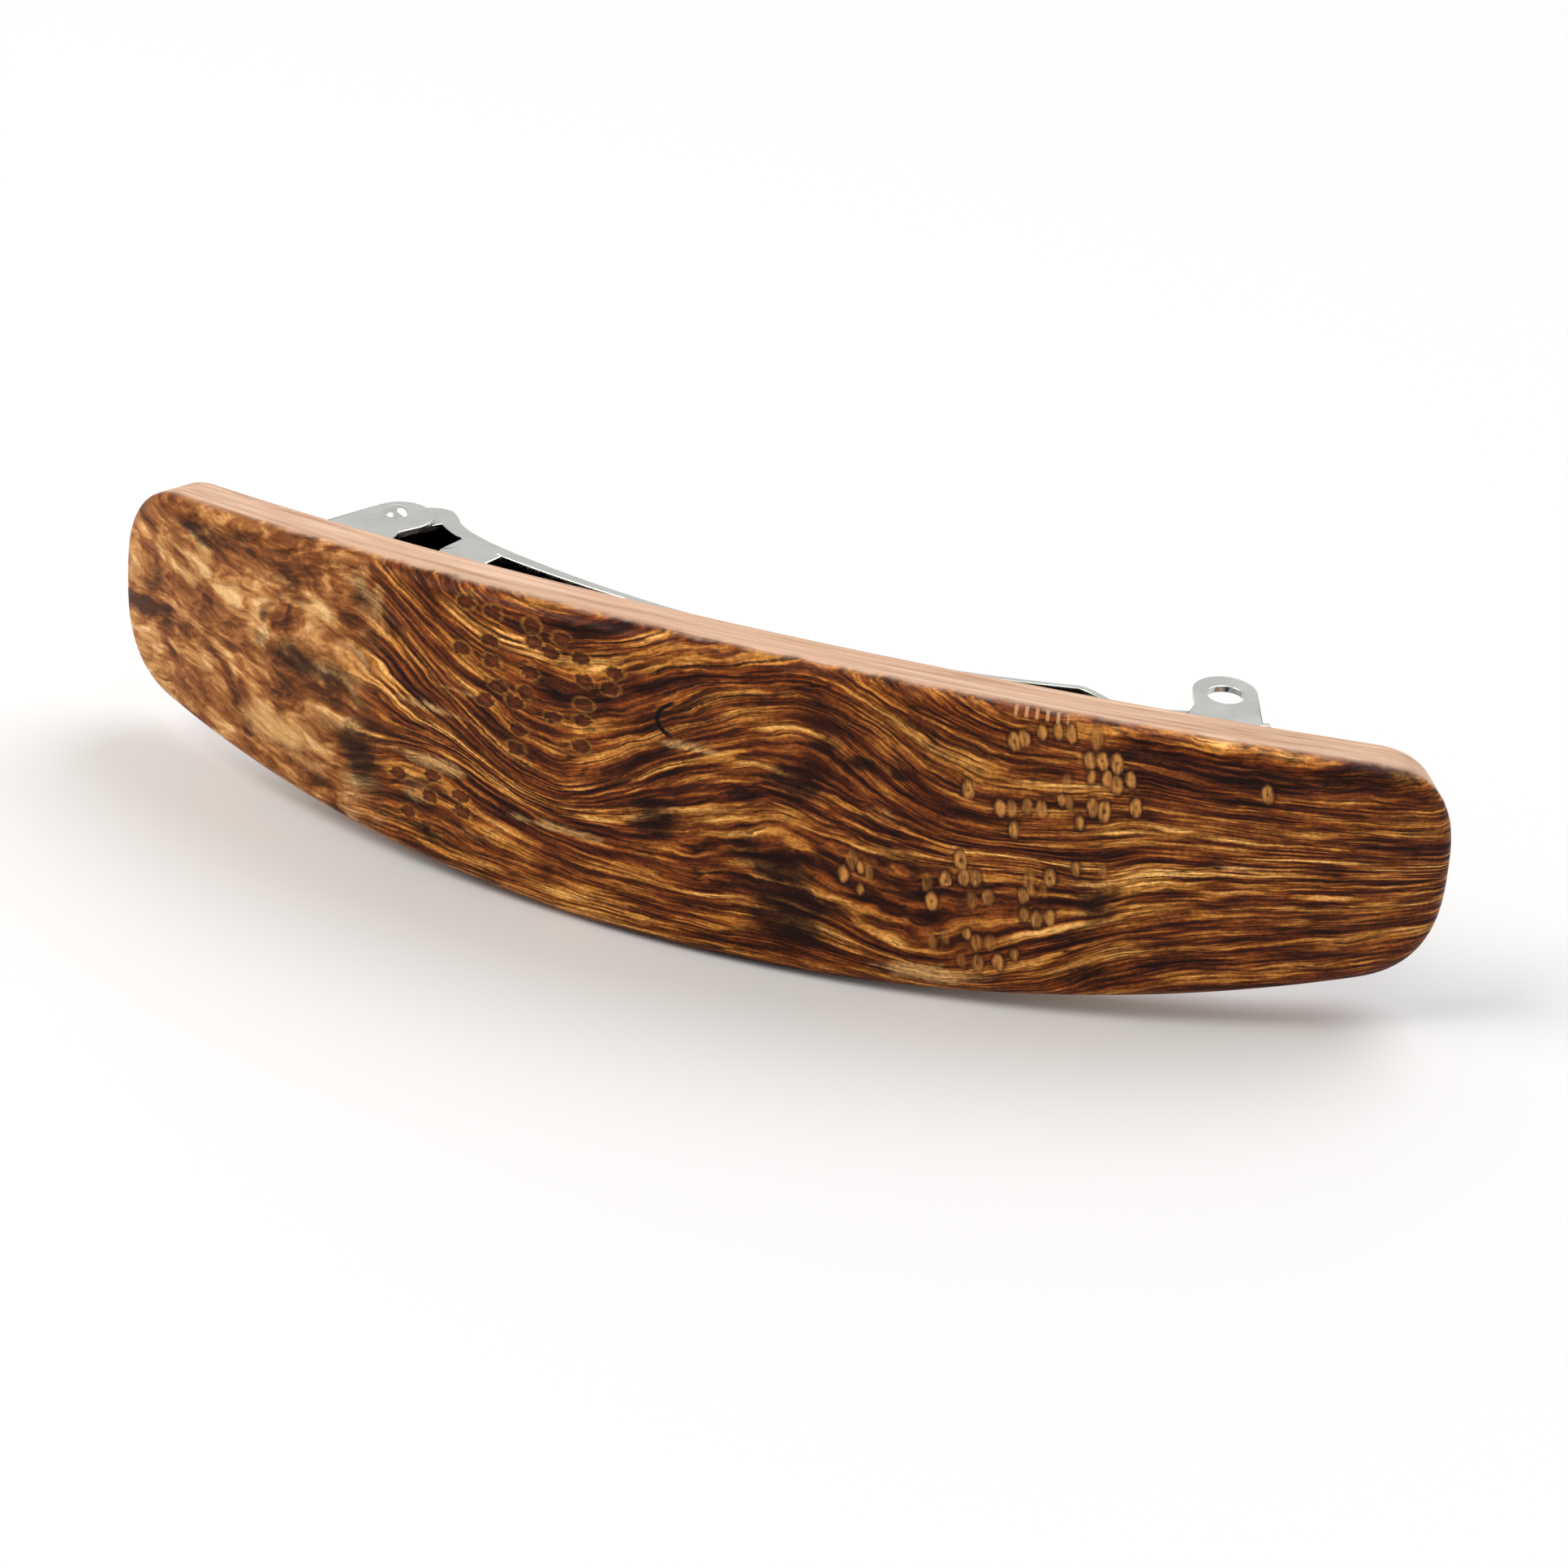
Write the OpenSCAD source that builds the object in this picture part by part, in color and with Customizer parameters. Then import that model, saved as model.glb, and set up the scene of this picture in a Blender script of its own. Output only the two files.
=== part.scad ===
// Arched wooden barrette on a French clip.
// X runs along the bar, Z across its width, and the decorated face looks toward -Y.
// The bar stands on the middle of its lower long edge at Z = 0, with the clip behind it on +Y.
// Heights above the back of the bar are measured along the radius, toward the centre of the arch,
// and places along it are angles about that centre, positive toward +X.

/* [Wooden bar] */
// Length of the bar along the curve of its face
bar_len = 110; // [100:1:135]
// Width of the bar at its middle
bar_w = 25; // [23:0.5:32]
// Width that the bowed edges would have at the very ends
bar_end_w = 15.2; // [10:0.5:20]
// Thickness of the bar
bar_t = 5; // [3:0.25:7]
// Radius of the arch, at the face
arch_r = 105; // [90:1:140]
// How far the face is domed across its width
face_crown = 0.4; // [0:0.1:1.2]
// Radius of the rounded front edge
front_round = 1.4; // [0.4:0.1:2.2]
// Width of the eased back edge
back_ease = 0.6; // [0.2:0.1:1.2]
// Length of each rounded end
end_len = 6.1; // [4:0.1:10]
// Squareness of the ends, where 2 is an ellipse
end_power = 2.8; // [2:0.1:4]

/* [Glue] */
// Thickness of the adhesive between the bar and the clip
glue_t = 0.25; // [0.1:0.05:0.6]
// How far the adhesive shows round the plate
glue_show = 0.5; // [0:0.1:1]

/* [Clip] */
// Length of the base plate along its curve
plate_len = 76; // [68:0.5:84]
// How far the middle of the plate sits toward the catch
plate_shift = 1.4; // [-3:0.1:3]
// How far the clip sits above the middle line of the bar
clip_rise = 4.75; // [-4:0.25:5]
// Thickness of the sheet metal of the plate and the arm
sheet_t = 0.5; // [0.35:0.05:0.6]
// Distance between the inner faces of a pair of ears
ear_gap = 8.4; // [7:0.1:10]
// How far each edge of the plate stands inside the ears
plate_in = 0.2; // [0:0.05:0.4]
// Radius of the sewing holes in the plate
sew_hole_r = 1.1; // [0.8:0.1:1.4]

/* [Hinge] */
// Distance from the end of the plate to the hinge pin
pin_inset = 3.6; // [2.8:0.1:4]
// Height of the hinge pin above the back of the bar
pin_h = 5.85; // [5.2:0.05:7]
// Radius of the hinge pin
pin_r = 0.7; // [0.5:0.05:0.9]
// How far the pin's domed heads reach past its shaft
pin_head_lip = 0.35; // [0.25:0.05:0.6]
// Height of the pin's domed heads
pin_head_h = 0.45; // [0.3:0.05:0.7]
// Radial clearance of the moving pieces on the pin
pin_clear = 0.05; // [0.02:0.01:0.09]
// Width of the metal round the pin, at the rounded top of a hinge ear
hinge_ear_rim = 1.7; // [1.3:0.1:1.9]

/* [Arm] */
// Gap between the arm and the ears on each side
arm_gap = 0.4; // [0.3:0.05:0.7]
// Height of the arm's outer face above the pin, where it leaves the hinge
arm_rise = 2.05; // [1.8:0.05:3]
// Height of the arm's outer face before the step
arm_h_step = 6.3; // [6:0.1:7.4]
// Radius of the arm's own curve
arm_r = 78; // [70:1:100]
// Height of the tongue's outer face, where it lies between the catch ears
tongue_h = 3.75; // [3.2:0.05:4.2]
// Gap that the shoulder of the arm leaves above the plate as it swings past
shoulder_gap = 0.25; // [0.15:0.05:0.6]
// Radius of the rounded lobe on each side of the arm
lobe_r = 2; // [1.5:0.1:2.4]

/* [Catch] */
// Distance from the end of the plate to the middle of the catch ears
catch_inset = 2.75; // [2.6:0.05:4]
// Radius of the rounded top of a catch ear
catch_ear_r = 2.35; // [2:0.05:2.8]
// Height of the catch ears above the back of the bar
catch_ear_h = 7.7; // [6.8:0.1:8.5]
// Radius of the round hole in each catch ear
catch_hole_r = 1.35; // [1:0.05:1.5]
// How far the hole sits below the middle of the rounded top
catch_hole_drop = 0.55; // [0:0.05:0.7]

/* [Tension bar] */
// Gap between the tension bar and the arm's cheeks on each side
spring_gap = 0.4; // [0.25:0.05:0.8]
// Thickness of the spring steel
spring_t = 0.35; // [0.25:0.05:0.45]
// Radius of the tension bar's own curve
spring_r = 150; // [130:1:190]

/* [Hidden] */
$fn = 64;
eps = 0.01;

// The arch: its back radius, its half length, and the middle heights of the bar and the clip
back_r = arch_r - bar_t;
half_len = bar_len / 2;
mid_z = bar_w / 2;
clip_z = mid_z + clip_rise;
plate_h = glue_t + sheet_t;

// Places along the arch, in degrees about its centre
deg_per_mm = 180 / (PI * back_r);
plate_a0 = (plate_shift - plate_len / 2) * deg_per_mm;
plate_a1 = (plate_shift + plate_len / 2) * deg_per_mm;
pin_a = plate_a0 + pin_inset * deg_per_mm;
catch_a = plate_a1 - catch_inset * deg_per_mm;

// The centre of the arch stands so that the origin is in the middle of the whole depth
shoulder_r = pin_h - plate_h - shoulder_gap;
shoulder_back = (back_r - pin_h - shoulder_r) * cos(pin_a);
bar_end_back = back_r * cos(half_len / arch_r * 180 / PI);
arch_y = (arch_r + face_crown + min(shoulder_back, bar_end_back)) / 2;

// Ear, arm and spring sizes that follow from the rest
plate_w = ear_gap - 2 * plate_in;
ear_out = ear_gap / 2 + sheet_t;
arm_w = ear_gap - 2 * arm_gap;
spring_w = arm_w - 2 * sheet_t - 2 * spring_gap;
arm_h_root = pin_h + arm_rise;
pin_head_r = pin_r + pin_head_lip;
hinge_ear_r = pin_r + hinge_ear_rim;
catch_hole_h = catch_ear_h - catch_ear_r - catch_hole_drop;
arm_pin_hole_r = pin_r + pin_clear;
curl_r = arm_pin_hole_r + spring_t / 2 - eps;
nib_clear = 0.05;
nib_r = 0.4;
nib_len = (ear_gap - arm_w) / 2 - nib_clear;

// Distances along the back of the bar from the hinge pin to the root of the arm's main curve,
// and from the middle of the catch ears to both ends of its step, to its tip and to the nibs
root_reach = 11;
step_start = 11.2;
step_end = 7.2;
tip_short = 0.6;
nib_short = 1.85;
root_a = pin_a + root_reach * deg_per_mm;
step_a0 = catch_a - step_start * deg_per_mm;
step_a1 = catch_a - step_end * deg_per_mm;
tongue_a = catch_a - tip_short * deg_per_mm;
nib_a = catch_a - nib_short * deg_per_mm;

// Gap from the tension bar's free end to the step of the arm
spring_short = 0.7;
spring_tip_a = step_a0 - spring_short * deg_per_mm;

// A point from its angle along the arch and its height above the back of the bar
function on_arch(a, h) = [(back_r - h) * sin(a), arch_y - (back_r - h) * cos(a)];

// A point from its offset along and away from the bar, seen from the hinge pin
function from_pin(u, v) =
    let (p = on_arch(pin_a, pin_h), c = cos(pin_a), s = sin(pin_a))
    [p[0] + u * c - v * s, p[1] + u * s + v * c];

// Centre of the circle of radius r through p and q, on the left of the way from p to q
function arc_centre(p, q, r) =
    let (m = (p + q) / 2, d = q - p, k = sqrt(r * r - d * d / 4) / norm(d)) m + k * [-d[1], d[0]];

// Points on a circular arc
function arc_points(c, r, a0, a1, n) =
    [for (i = [0:n]) let (a = a0 + (a1 - a0) * i / n) c + r * [cos(a), sin(a)]];

// Points on a cubic curve
function curve_points(p0, p1, p2, p3, n) =
    [for (i = [1:n - 1])
        let (t = i / n, s = 1 - t)
        s * s * s * p0 + 3 * s * s * t * p1 + 3 * s * t * t * p2 + t * t * t * p3];

// Where the line from p touches the circle about c, with side 1 or -1
function tangent_point(p, c, r, side) =
    let (d = p - c, a = atan2(d[1], d[0]) + side * acos(r / norm(d))) c + r * [cos(a), sin(a)];

// Angle of the direction from p to q
function heading(p, q) = atan2(q[1] - p[1], q[0] - p[0]);

// Unit normal, on the left of a path, at its i-th point
function path_normal(path, i) =
    let (d = path[min(i + 1, len(path) - 1)] - path[max(i - 1, 0)]) [-d[1], d[0]] / norm(d);

// A path moved sideways: positive is to the left
function shifted(path, off) = [for (i = [0:len(path) - 1]) path[i] + off * path_normal(path, i)];

function reversed(list) = [for (i = [len(list) - 1:-1:0]) list[i]];

// Smooth rise from 0 to 1
function smooth(t) = t * t * (3 - 2 * t);

// Strip of sheet of width w, centred on the clip, from a path along its middle
module strip(path, t, w) {
    translate([0, 0, clip_z - w / 2])
        linear_extrude(w)
            polygon(concat(shifted(path, t / 2), reversed(shifted(path, -t / 2))));
}

// Part of a ring about the centre of the arch, from height h0 to h1 above the back of the bar
module arch_sheet(a0, a1, h0, h1, w) {
    translate([0, arch_y, clip_z - w / 2])
        rotate([0, 0, a0 - 90])
            rotate_extrude(angle = a1 - a0, $fn = 360)
                translate([back_r - h1, 0])
                    square([h1 - h0, w]);
}

// Frame on the back of the bar at angle a: X along the bar, Y away from it
module at_arch(a, h = 0) {
    translate([on_arch(a, h)[0], on_arch(a, h)[1], clip_z])
        rotate([0, 0, a])
            children();
}

// A flat piece repeated on both sides of the clip, between the distances z0 and z1 from its middle
module both_sides(z0, z1) {
    for (z = [z0, -z1])
        translate([0, 0, z])
            linear_extrude(z1 - z0)
                children();
}

// ---- the wooden bar ----

ring_n = 54;
crown_n = 6;
round_n = 4;
cut_extra = 0.5;

// Half width of the bar at the distance s from its middle, for an outline drawn in by inset
function half_width(s, inset) =
    let (
        u = s / half_len,
        q = max(0, (abs(s) - (half_len - inset - end_len)) / end_len),
        bow = bar_w / 2 - (bar_w - bar_end_w) / 2 * u * u - inset
    )
    bow * pow(max(0, 1 - pow(min(q, 1), end_power)), 1 / end_power);

// Depth below the face and inset of each ring, from the face to just past the back
rings = concat(
    [
        for (i = [0:round_n])
            let (a = 90 * i / round_n)
            [front_round * (1 - cos(a)), front_round * (1 - sin(a))]
    ],
    [[bar_t - back_ease, 0], [bar_t + cut_extra, back_ease + cut_extra]]
);

// Distance from the middle of station j, closer together toward the rounded ends
function station(j, inset) = (half_len - inset) * cos(180 * j / ring_n);

// A point of the bar from its place along it, its height across it and its depth below the face
function bar_point(s, z, depth) =
    let (a = s / arch_r * 180 / PI, r = arch_r - depth) [r * sin(a), arch_y - r * cos(a), mid_z + z];

// Stations 1 to ring_n - 1 of the upper edge, then of the lower edge, between the two tips
function ring_points(depth, inset) = [
    for (k = [0:2 * ring_n - 1])
        let (j = k <= ring_n ? k : 2 * ring_n - k, s = station(j, inset), side = k <= ring_n ? 1 : -1)
        bar_point(s, (j == 0 || j == ring_n) ? 0 : side * half_width(s, inset), depth)
];

// Points between the edges of the domed face
crown_points = [
    for (j = [1:ring_n - 1], i = [1:crown_n - 1])
        let (s = station(j, front_round), f = 1 - 2 * i / crown_n, w = half_width(s, front_round))
        bar_point(s, f * w, -face_crown * (1 - f * f) * pow(w / half_width(0, front_round), 2))
];

ring_size = 2 * ring_n;
last_ring = (len(rings) - 1) * ring_size;
crown_at = len(rings) * ring_size;

// Index of point i, from 0 at the upper edge to crown_n at the lower one, of station j of the face
function face_index(j, i) =
    i == 0 || j == 0 || j == ring_n ? j
        : i == crown_n ? ring_size - j
        : crown_at + (j - 1) * (crown_n - 1) + i - 1;

bar_faces = concat(
    [for (l = [0:len(rings) - 2], k = [0:ring_size - 1])
        let (a = l * ring_size, b = a + ring_size, n = (k + 1) % ring_size)
        each [[a + k, a + n, b + n], [a + k, b + n, b + k]]],
    [for (j = [1:ring_n - 2], i = [0:crown_n - 1])
        each [
            [face_index(j, i), face_index(j, i + 1), face_index(j + 1, i + 1)],
            [face_index(j, i), face_index(j + 1, i + 1), face_index(j + 1, i)]
        ]],
    [for (i = [0:crown_n - 1]) [0, face_index(1, i + 1), face_index(1, i)]],
    [for (i = [0:crown_n - 1]) [ring_n, face_index(ring_n - 1, i), face_index(ring_n - 1, i + 1)]],
    [for (j = [1:ring_n - 2])
        each [
            [last_ring + j, last_ring + j + 1, last_ring + ring_size - j],
            [last_ring + j + 1, last_ring + ring_size - j - 1, last_ring + ring_size - j]
        ]],
    [[last_ring, last_ring + 1, last_ring + ring_size - 1]],
    [[last_ring + ring_n, last_ring + ring_n + 1, last_ring + ring_n - 1]]
);

// The bar: a bowed, arched slab whose back is a true cylinder, so that the clip seats on it
module wood_bar() {
    color("saddlebrown")
        difference() {
            polyhedron(
                points = concat([for (r = rings) each ring_points(r[0], r[1])], crown_points),
                faces = bar_faces
            );
            translate([0, arch_y, -1])
                cylinder(r = back_r, h = bar_w + 2, $fn = 360);
        }
}

// ---- the adhesive ----

// A thin bed that follows the plate and shows a little all round it
module glue_bed() {
    show_a = glue_show * deg_per_mm;
    color("burlywood")
        arch_sheet(plate_a0 - show_a, plate_a1 + show_a, 0, glue_t, plate_w + 2 * glue_show);
}

// ---- the base plate with its two pairs of ears ----

// Outline of an ear: a rounded top on straight sides, flared at its root toward the middle of the clip
module ear_outline(top, r, root_out, root_in, flare) {
    out = tangent_point([root_out, -ear_sink], top, r, sign(root_out));
    inn = tangent_point([root_in, root_flare_h], top, r, -sign(root_out));
    foot = root_in + flare;
    polygon([[root_out, -ear_sink], out, top, inn, [root_in, root_flare_h], [foot, 0], [foot, -ear_sink]]);
    translate(top)
        circle(r = r);
}

ear_sink = sheet_t * 0.4;
root_flare_h = 2.6;
hinge_root = 2.5;
hinge_lean = 0.7;
catch_root = 2.2;
root_flare = 1.1;
root_spare = 0.9;
hinge_root_len = pin_inset + hinge_root + root_flare + root_spare;
catch_root_len = catch_inset + catch_ear_r + root_flare + root_spare;
top_drop = 0.2;
sew_reach = 10.5;

module hinge_ears() {
    at_arch(pin_a, plate_h)
        both_sides(ear_gap / 2, ear_out)
            ear_outline(
                [hinge_lean, pin_h - plate_h - top_drop],
                hinge_ear_r,
                -hinge_root,
                hinge_root,
                root_flare
            );
}

module catch_ears() {
    at_arch(catch_a, plate_h)
        both_sides(ear_gap / 2, ear_out)
            ear_outline(
                [0, catch_ear_h - catch_ear_r - plate_h],
                catch_ear_r,
                catch_root,
                -catch_ear_r,
                -root_flare
            );
}

// What is cut away beside the plate, between the wider parts that carry the ears
module plate_side_cuts() {
    cut_w = 2 * (ear_out - plate_w / 2);
    for (side = [-1, 1])
        translate([0, 0, side * (plate_w / 2 + cut_w / 2)])
            arch_sheet(
                plate_a0 + hinge_root_len * deg_per_mm,
                plate_a1 - catch_root_len * deg_per_mm,
                -sheet_t,
                plate_h + sheet_t,
                cut_w
            );
}

// Two nibs inside the catch ears hold the tongue down
module catch_nibs() {
    for (side = [-1, 1])
        at_arch(nib_a, tongue_h + nib_r + nib_clear)
            translate([0, 0, side * (ear_gap / 2 - nib_len / 2 + eps)])
                cylinder(r = nib_r, h = nib_len + 2 * eps, center = true, $fn = 32);
}

module base_plate() {
    color("gainsboro")
        difference() {
            union() {
                difference() {
                    arch_sheet(plate_a0, plate_a1, glue_t, plate_h, 2 * ear_out);
                    plate_side_cuts();
                }
                hinge_ears();
                catch_ears();
                catch_nibs();
            }
            at_arch(pin_a, pin_h)
                cylinder(r = pin_r, h = 2 * ear_out + 1, center = true);
            at_arch(catch_a, catch_hole_h)
                cylinder(r = catch_hole_r, h = 2 * ear_out + 1, center = true);
            for (a = [pin_a + sew_reach * deg_per_mm, catch_a - sew_reach * deg_per_mm])
                at_arch(a)
                    rotate([-90, 0, 0])
                        cylinder(r = sew_hole_r, h = 2 * plate_h);
        }
}

// ---- the hinge pin: a plain shaft with a dome at each end ----

dome_r = (pin_head_r * pin_head_r + pin_head_h * pin_head_h) / (2 * pin_head_h);

module pin_dome() {
    intersection() {
        translate([0, 0, pin_head_h - dome_r])
            sphere(r = dome_r);
        cylinder(r = pin_head_r + 1, h = pin_head_h + 1);
    }
}

module hinge_pin() {
    color("silver")
        at_arch(pin_a, pin_h) {
            cylinder(r = pin_r, h = 2 * ear_out, center = true);
            for (side = [0, 180])
                rotate([side, 0, 0])
                    translate([0, 0, ear_out])
                        pin_dome();
        }
}

// ---- the clasp arm ----

// Middle line of the arm: hook round the pin, shoulder, main curve, step down, tongue
arm_from = on_arch(root_a, arm_h_root - sheet_t / 2);
arm_to = on_arch(step_a0, arm_h_step - sheet_t / 2);
arm_mid_r = arm_r + sheet_t / 2;
arm_c = arc_centre(arm_from, arm_to, arm_mid_r);
shoulder_mid_r = shoulder_r - sheet_t / 2;
shoulder_start = 65;
shoulder_stop = 50;
shoulder_n = 6;
lug_r = pin_r + 1;
hook_r = lug_r - sheet_t / 2 + 0.06;
hook_start = 175;
hook_stop = 165;
hook_n = 2;
neck_n = 14;
blend_n = 12;
main_n = 60;
step_n = 12;
tongue_n = 6;
shoulder_a1 = pin_a + shoulder_stop;
shoulder = arc_points(on_arch(pin_a, pin_h), shoulder_mid_r, pin_a + shoulder_start, shoulder_a1, shoulder_n);
hook = arc_points(on_arch(pin_a, pin_h), hook_r, pin_a + hook_start, pin_a + hook_stop, hook_n);
hook_end = hook[len(hook) - 1];
hook_a1 = pin_a + hook_stop;
hook_pull = 2.6;
shoulder_a0 = pin_a + shoulder_start;
neck_pull = 1.3;
neck = curve_points(
    hook_end,
    hook_end + hook_pull * [sin(hook_a1), -cos(hook_a1)],
    shoulder[0] - neck_pull * [sin(shoulder_a0), -cos(shoulder_a0)],
    shoulder[0],
    neck_n
);
main_curve = arc_points(arm_c, arm_mid_r, heading(arm_c, arm_from), heading(arm_c, arm_to), main_n);
shoulder_end = shoulder[len(shoulder) - 1];
main_start = (main_curve[1] - main_curve[0]) / norm(main_curve[1] - main_curve[0]);
shoulder_pull = 1.6;
main_pull = 3.2;
blend = curve_points(
    shoulder_end,
    shoulder_end + shoulder_pull * [sin(shoulder_a1), -cos(shoulder_a1)],
    arm_from - main_pull * main_start,
    arm_from,
    blend_n
);
step_curve = [
    for (i = [1:step_n])
        let (t = i / step_n, h = arm_h_step + (tongue_h - arm_h_step) * smooth(t))
        on_arch(step_a0 + (step_a1 - step_a0) * t, h - sheet_t / 2)
];
tongue = [
    for (i = [1:tongue_n])
        on_arch(step_a1 + (tongue_a - step_a1) * i / tongue_n, tongue_h - sheet_t / 2)
];
arm_head = concat(hook, neck, shoulder);
arm_path = concat(arm_head, blend, main_curve, step_curve, tongue);

// Side cheek of the arm, as a strip that narrows away from the hinge and ends on the main curve
cheek_lap = 3;
cheek_run = 26;
cheek_from = len(arm_head) - cheek_lap;
cheek_to = len(arm_head) + len(blend) + cheek_run;
cheek_path = [for (i = [cheek_from:cheek_to]) arm_path[i]];
cheek_deep = 1.6;
cheek_low = [
    for (i = [0:len(cheek_path) - 1])
        let (t = i / (len(cheek_path) - 1), d = sheet_t / 2 + (cheek_deep - sheet_t) * pow(1 - t, 1.5) + eps)
        cheek_path[i] - d * path_normal(cheek_path, i)
];

lobe_u = 7.3;
lobe_v = -0.5;
lobe_top = 2.3;

// A flat shape repeated in both cheeks of the arm
module in_cheeks() {
    both_sides(arm_w / 2 - sheet_t, arm_w / 2)
        children();
}

// Head of each cheek: the lug on the pin, filled out to the hook and the shoulder
module cheek_heads() {
    translate([0, 0, clip_z])
        in_cheeks() {
            polygon(concat(shifted(arm_head, sheet_t / 2 - eps), [from_pin(lug_r, 0)]));
            translate(on_arch(pin_a, pin_h))
                circle(r = lug_r);
        }
}

// The rounded lobe of each cheek, beside the pin
module cheek_lobes() {
    at_arch(pin_a, pin_h) {
        in_cheeks()
            translate([lobe_u, lobe_v])
                circle(r = lobe_r);
        in_cheeks()
            translate([lobe_u - lobe_r, lobe_v])
                square([2 * lobe_r, lobe_top - lobe_v]);
    }
}

// Narrowing edge of each cheek, along the arm
module cheek_taper() {
    translate([0, 0, clip_z])
        in_cheeks()
            polygon(concat(shifted(cheek_path, sheet_t / 2 - eps), reversed(cheek_low)));
}

module clasp_arm() {
    color("gainsboro")
        difference() {
            union() {
                strip(arm_path, sheet_t, arm_w);
                cheek_taper();
                cheek_heads();
                cheek_lobes();
            }
            at_arch(pin_a, pin_h)
                cylinder(r = arm_pin_hole_r, h = arm_w + 1, center = true);
        }
}

// ---- the tension bar ----

// A flat spring: curled round the pin at one end, resting near the plate by the catch at the other
spring_from = from_pin(0, -curl_r);
spring_lift = 0.1;
spring_to = on_arch(spring_tip_a, plate_h + spring_lift + spring_t / 2);
spring_c = arc_centre(spring_from, spring_to, spring_r);
spring_n = 40;
spring_a0 = heading(spring_c, spring_from);
spring_a1 = heading(spring_c, spring_to);
spring_bow = arc_points(spring_c, spring_r, spring_a0, spring_a1, spring_n);
curl_start = 5;
curl_stop = 260;
curl_n = 26;
curl = arc_points(on_arch(pin_a, pin_h), curl_r, pin_a + curl_start, pin_a + curl_stop, curl_n);

module tension_bar() {
    color("lightsteelblue")
        difference() {
            strip(concat(curl, spring_bow), spring_t, spring_w);
            at_arch(pin_a, pin_h)
                cylinder(r = arm_pin_hole_r, h = spring_w + 1, center = true);
        }
}

wood_bar();
glue_bed();
base_plate();
hinge_pin();
clasp_arm();
tension_bar();
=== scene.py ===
import math

import bmesh
import bpy
import numpy as np
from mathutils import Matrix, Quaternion, Vector


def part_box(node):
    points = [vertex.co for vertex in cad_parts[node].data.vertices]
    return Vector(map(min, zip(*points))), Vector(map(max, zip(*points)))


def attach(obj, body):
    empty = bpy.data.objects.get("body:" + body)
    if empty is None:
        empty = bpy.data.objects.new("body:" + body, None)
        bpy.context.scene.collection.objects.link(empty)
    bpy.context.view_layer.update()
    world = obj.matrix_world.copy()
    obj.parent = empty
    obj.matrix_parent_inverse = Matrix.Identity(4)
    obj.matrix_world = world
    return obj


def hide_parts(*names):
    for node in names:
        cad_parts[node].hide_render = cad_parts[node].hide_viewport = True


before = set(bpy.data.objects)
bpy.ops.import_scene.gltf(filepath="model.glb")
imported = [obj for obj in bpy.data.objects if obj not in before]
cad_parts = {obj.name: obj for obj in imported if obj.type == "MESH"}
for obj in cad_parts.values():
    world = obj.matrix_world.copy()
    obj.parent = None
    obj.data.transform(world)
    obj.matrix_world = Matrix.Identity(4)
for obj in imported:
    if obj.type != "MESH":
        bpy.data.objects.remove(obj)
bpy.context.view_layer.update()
mm = 0.001
scene = bpy.context.scene
print("frame loaded:", ", ".join(sorted(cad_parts)))


def linear(hexColour, alpha=1.0):
    # sRGB hex to the linear values that a shader takes
    parts = [int(hexColour[i : i + 2], 16) / 255 for i in (1, 3, 5)]
    return [p / 12.92 if p <= 0.04045 else ((p + 0.055) / 1.055) ** 2.4 for p in parts] + [alpha]


def addNode(tree, kind, settings=None, inputs=None, out=0):
    # adds a node, sets it, links or sets its inputs, and hands back one output
    node = tree.nodes.new(kind)
    for name, value in (settings or {}).items():
        setattr(node, name, value)
    for key, value in (inputs or {}).items():
        socket = node.inputs[key]
        if isinstance(value, bpy.types.NodeSocket):
            tree.links.new(value, socket)
        else:
            socket.default_value = value
    return node if out is None else node.outputs[out]


def newMaterial(name):
    material = bpy.data.materials.new(name)
    material.use_nodes = True
    tree = material.node_tree
    tree.nodes.clear()
    return material, tree


def fillRamp(node, stops, mode="EASE"):
    # stops are (place, hex colour) pairs
    ramp = node.color_ramp
    ramp.interpolation = mode
    while len(ramp.elements) < len(stops):
        ramp.elements.new(0.5)
    for element, (place, colour) in zip(ramp.elements, stops):
        element.position = place
        element.color = linear(colour)


cameraView = {
    "azimuth": 18.72,  # degrees round from the front
    "elevation": 29.04,  # degrees above the table
    "distance": 336.4,  # mm from the middle of the face
    "aimX": 6.66,  # mm from the middle of the face to the point looked at
    "aimZ": 3.23,
    "roll": 4.56,  # degrees
    "lens": 107.86,  # mm, as the sensor width is
    "sensor": 36,
    "nearest": 0.01,  # m
    "farthest": 20,
}


def makeCamera(apex):
    # apex is the middle of the arched face
    azimuth, elevation, roll = (math.radians(cameraView[k]) for k in ("azimuth", "elevation", "roll"))
    back = Vector((
        math.sin(azimuth) * math.cos(elevation),
        -math.cos(azimuth) * math.cos(elevation),
        math.sin(elevation),
    ))
    camera = bpy.data.objects.new("camera", bpy.data.cameras.new("camera"))
    scene.collection.objects.link(camera)
    camera.location = apex + back * cameraView["distance"] * mm
    aim = apex + Vector((cameraView["aimX"], 0, cameraView["aimZ"])) * mm
    camera.rotation_mode = "QUATERNION"
    look = (aim - camera.location).to_track_quat("-Z", "Y")
    camera.rotation_quaternion = look @ Quaternion((0, 0, 1), roll)
    camera.data.sensor_width = cameraView["sensor"]
    camera.data.lens = cameraView["lens"]
    camera.data.clip_start = cameraView["nearest"]
    camera.data.clip_end = cameraView["farthest"]
    scene.camera = camera


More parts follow.
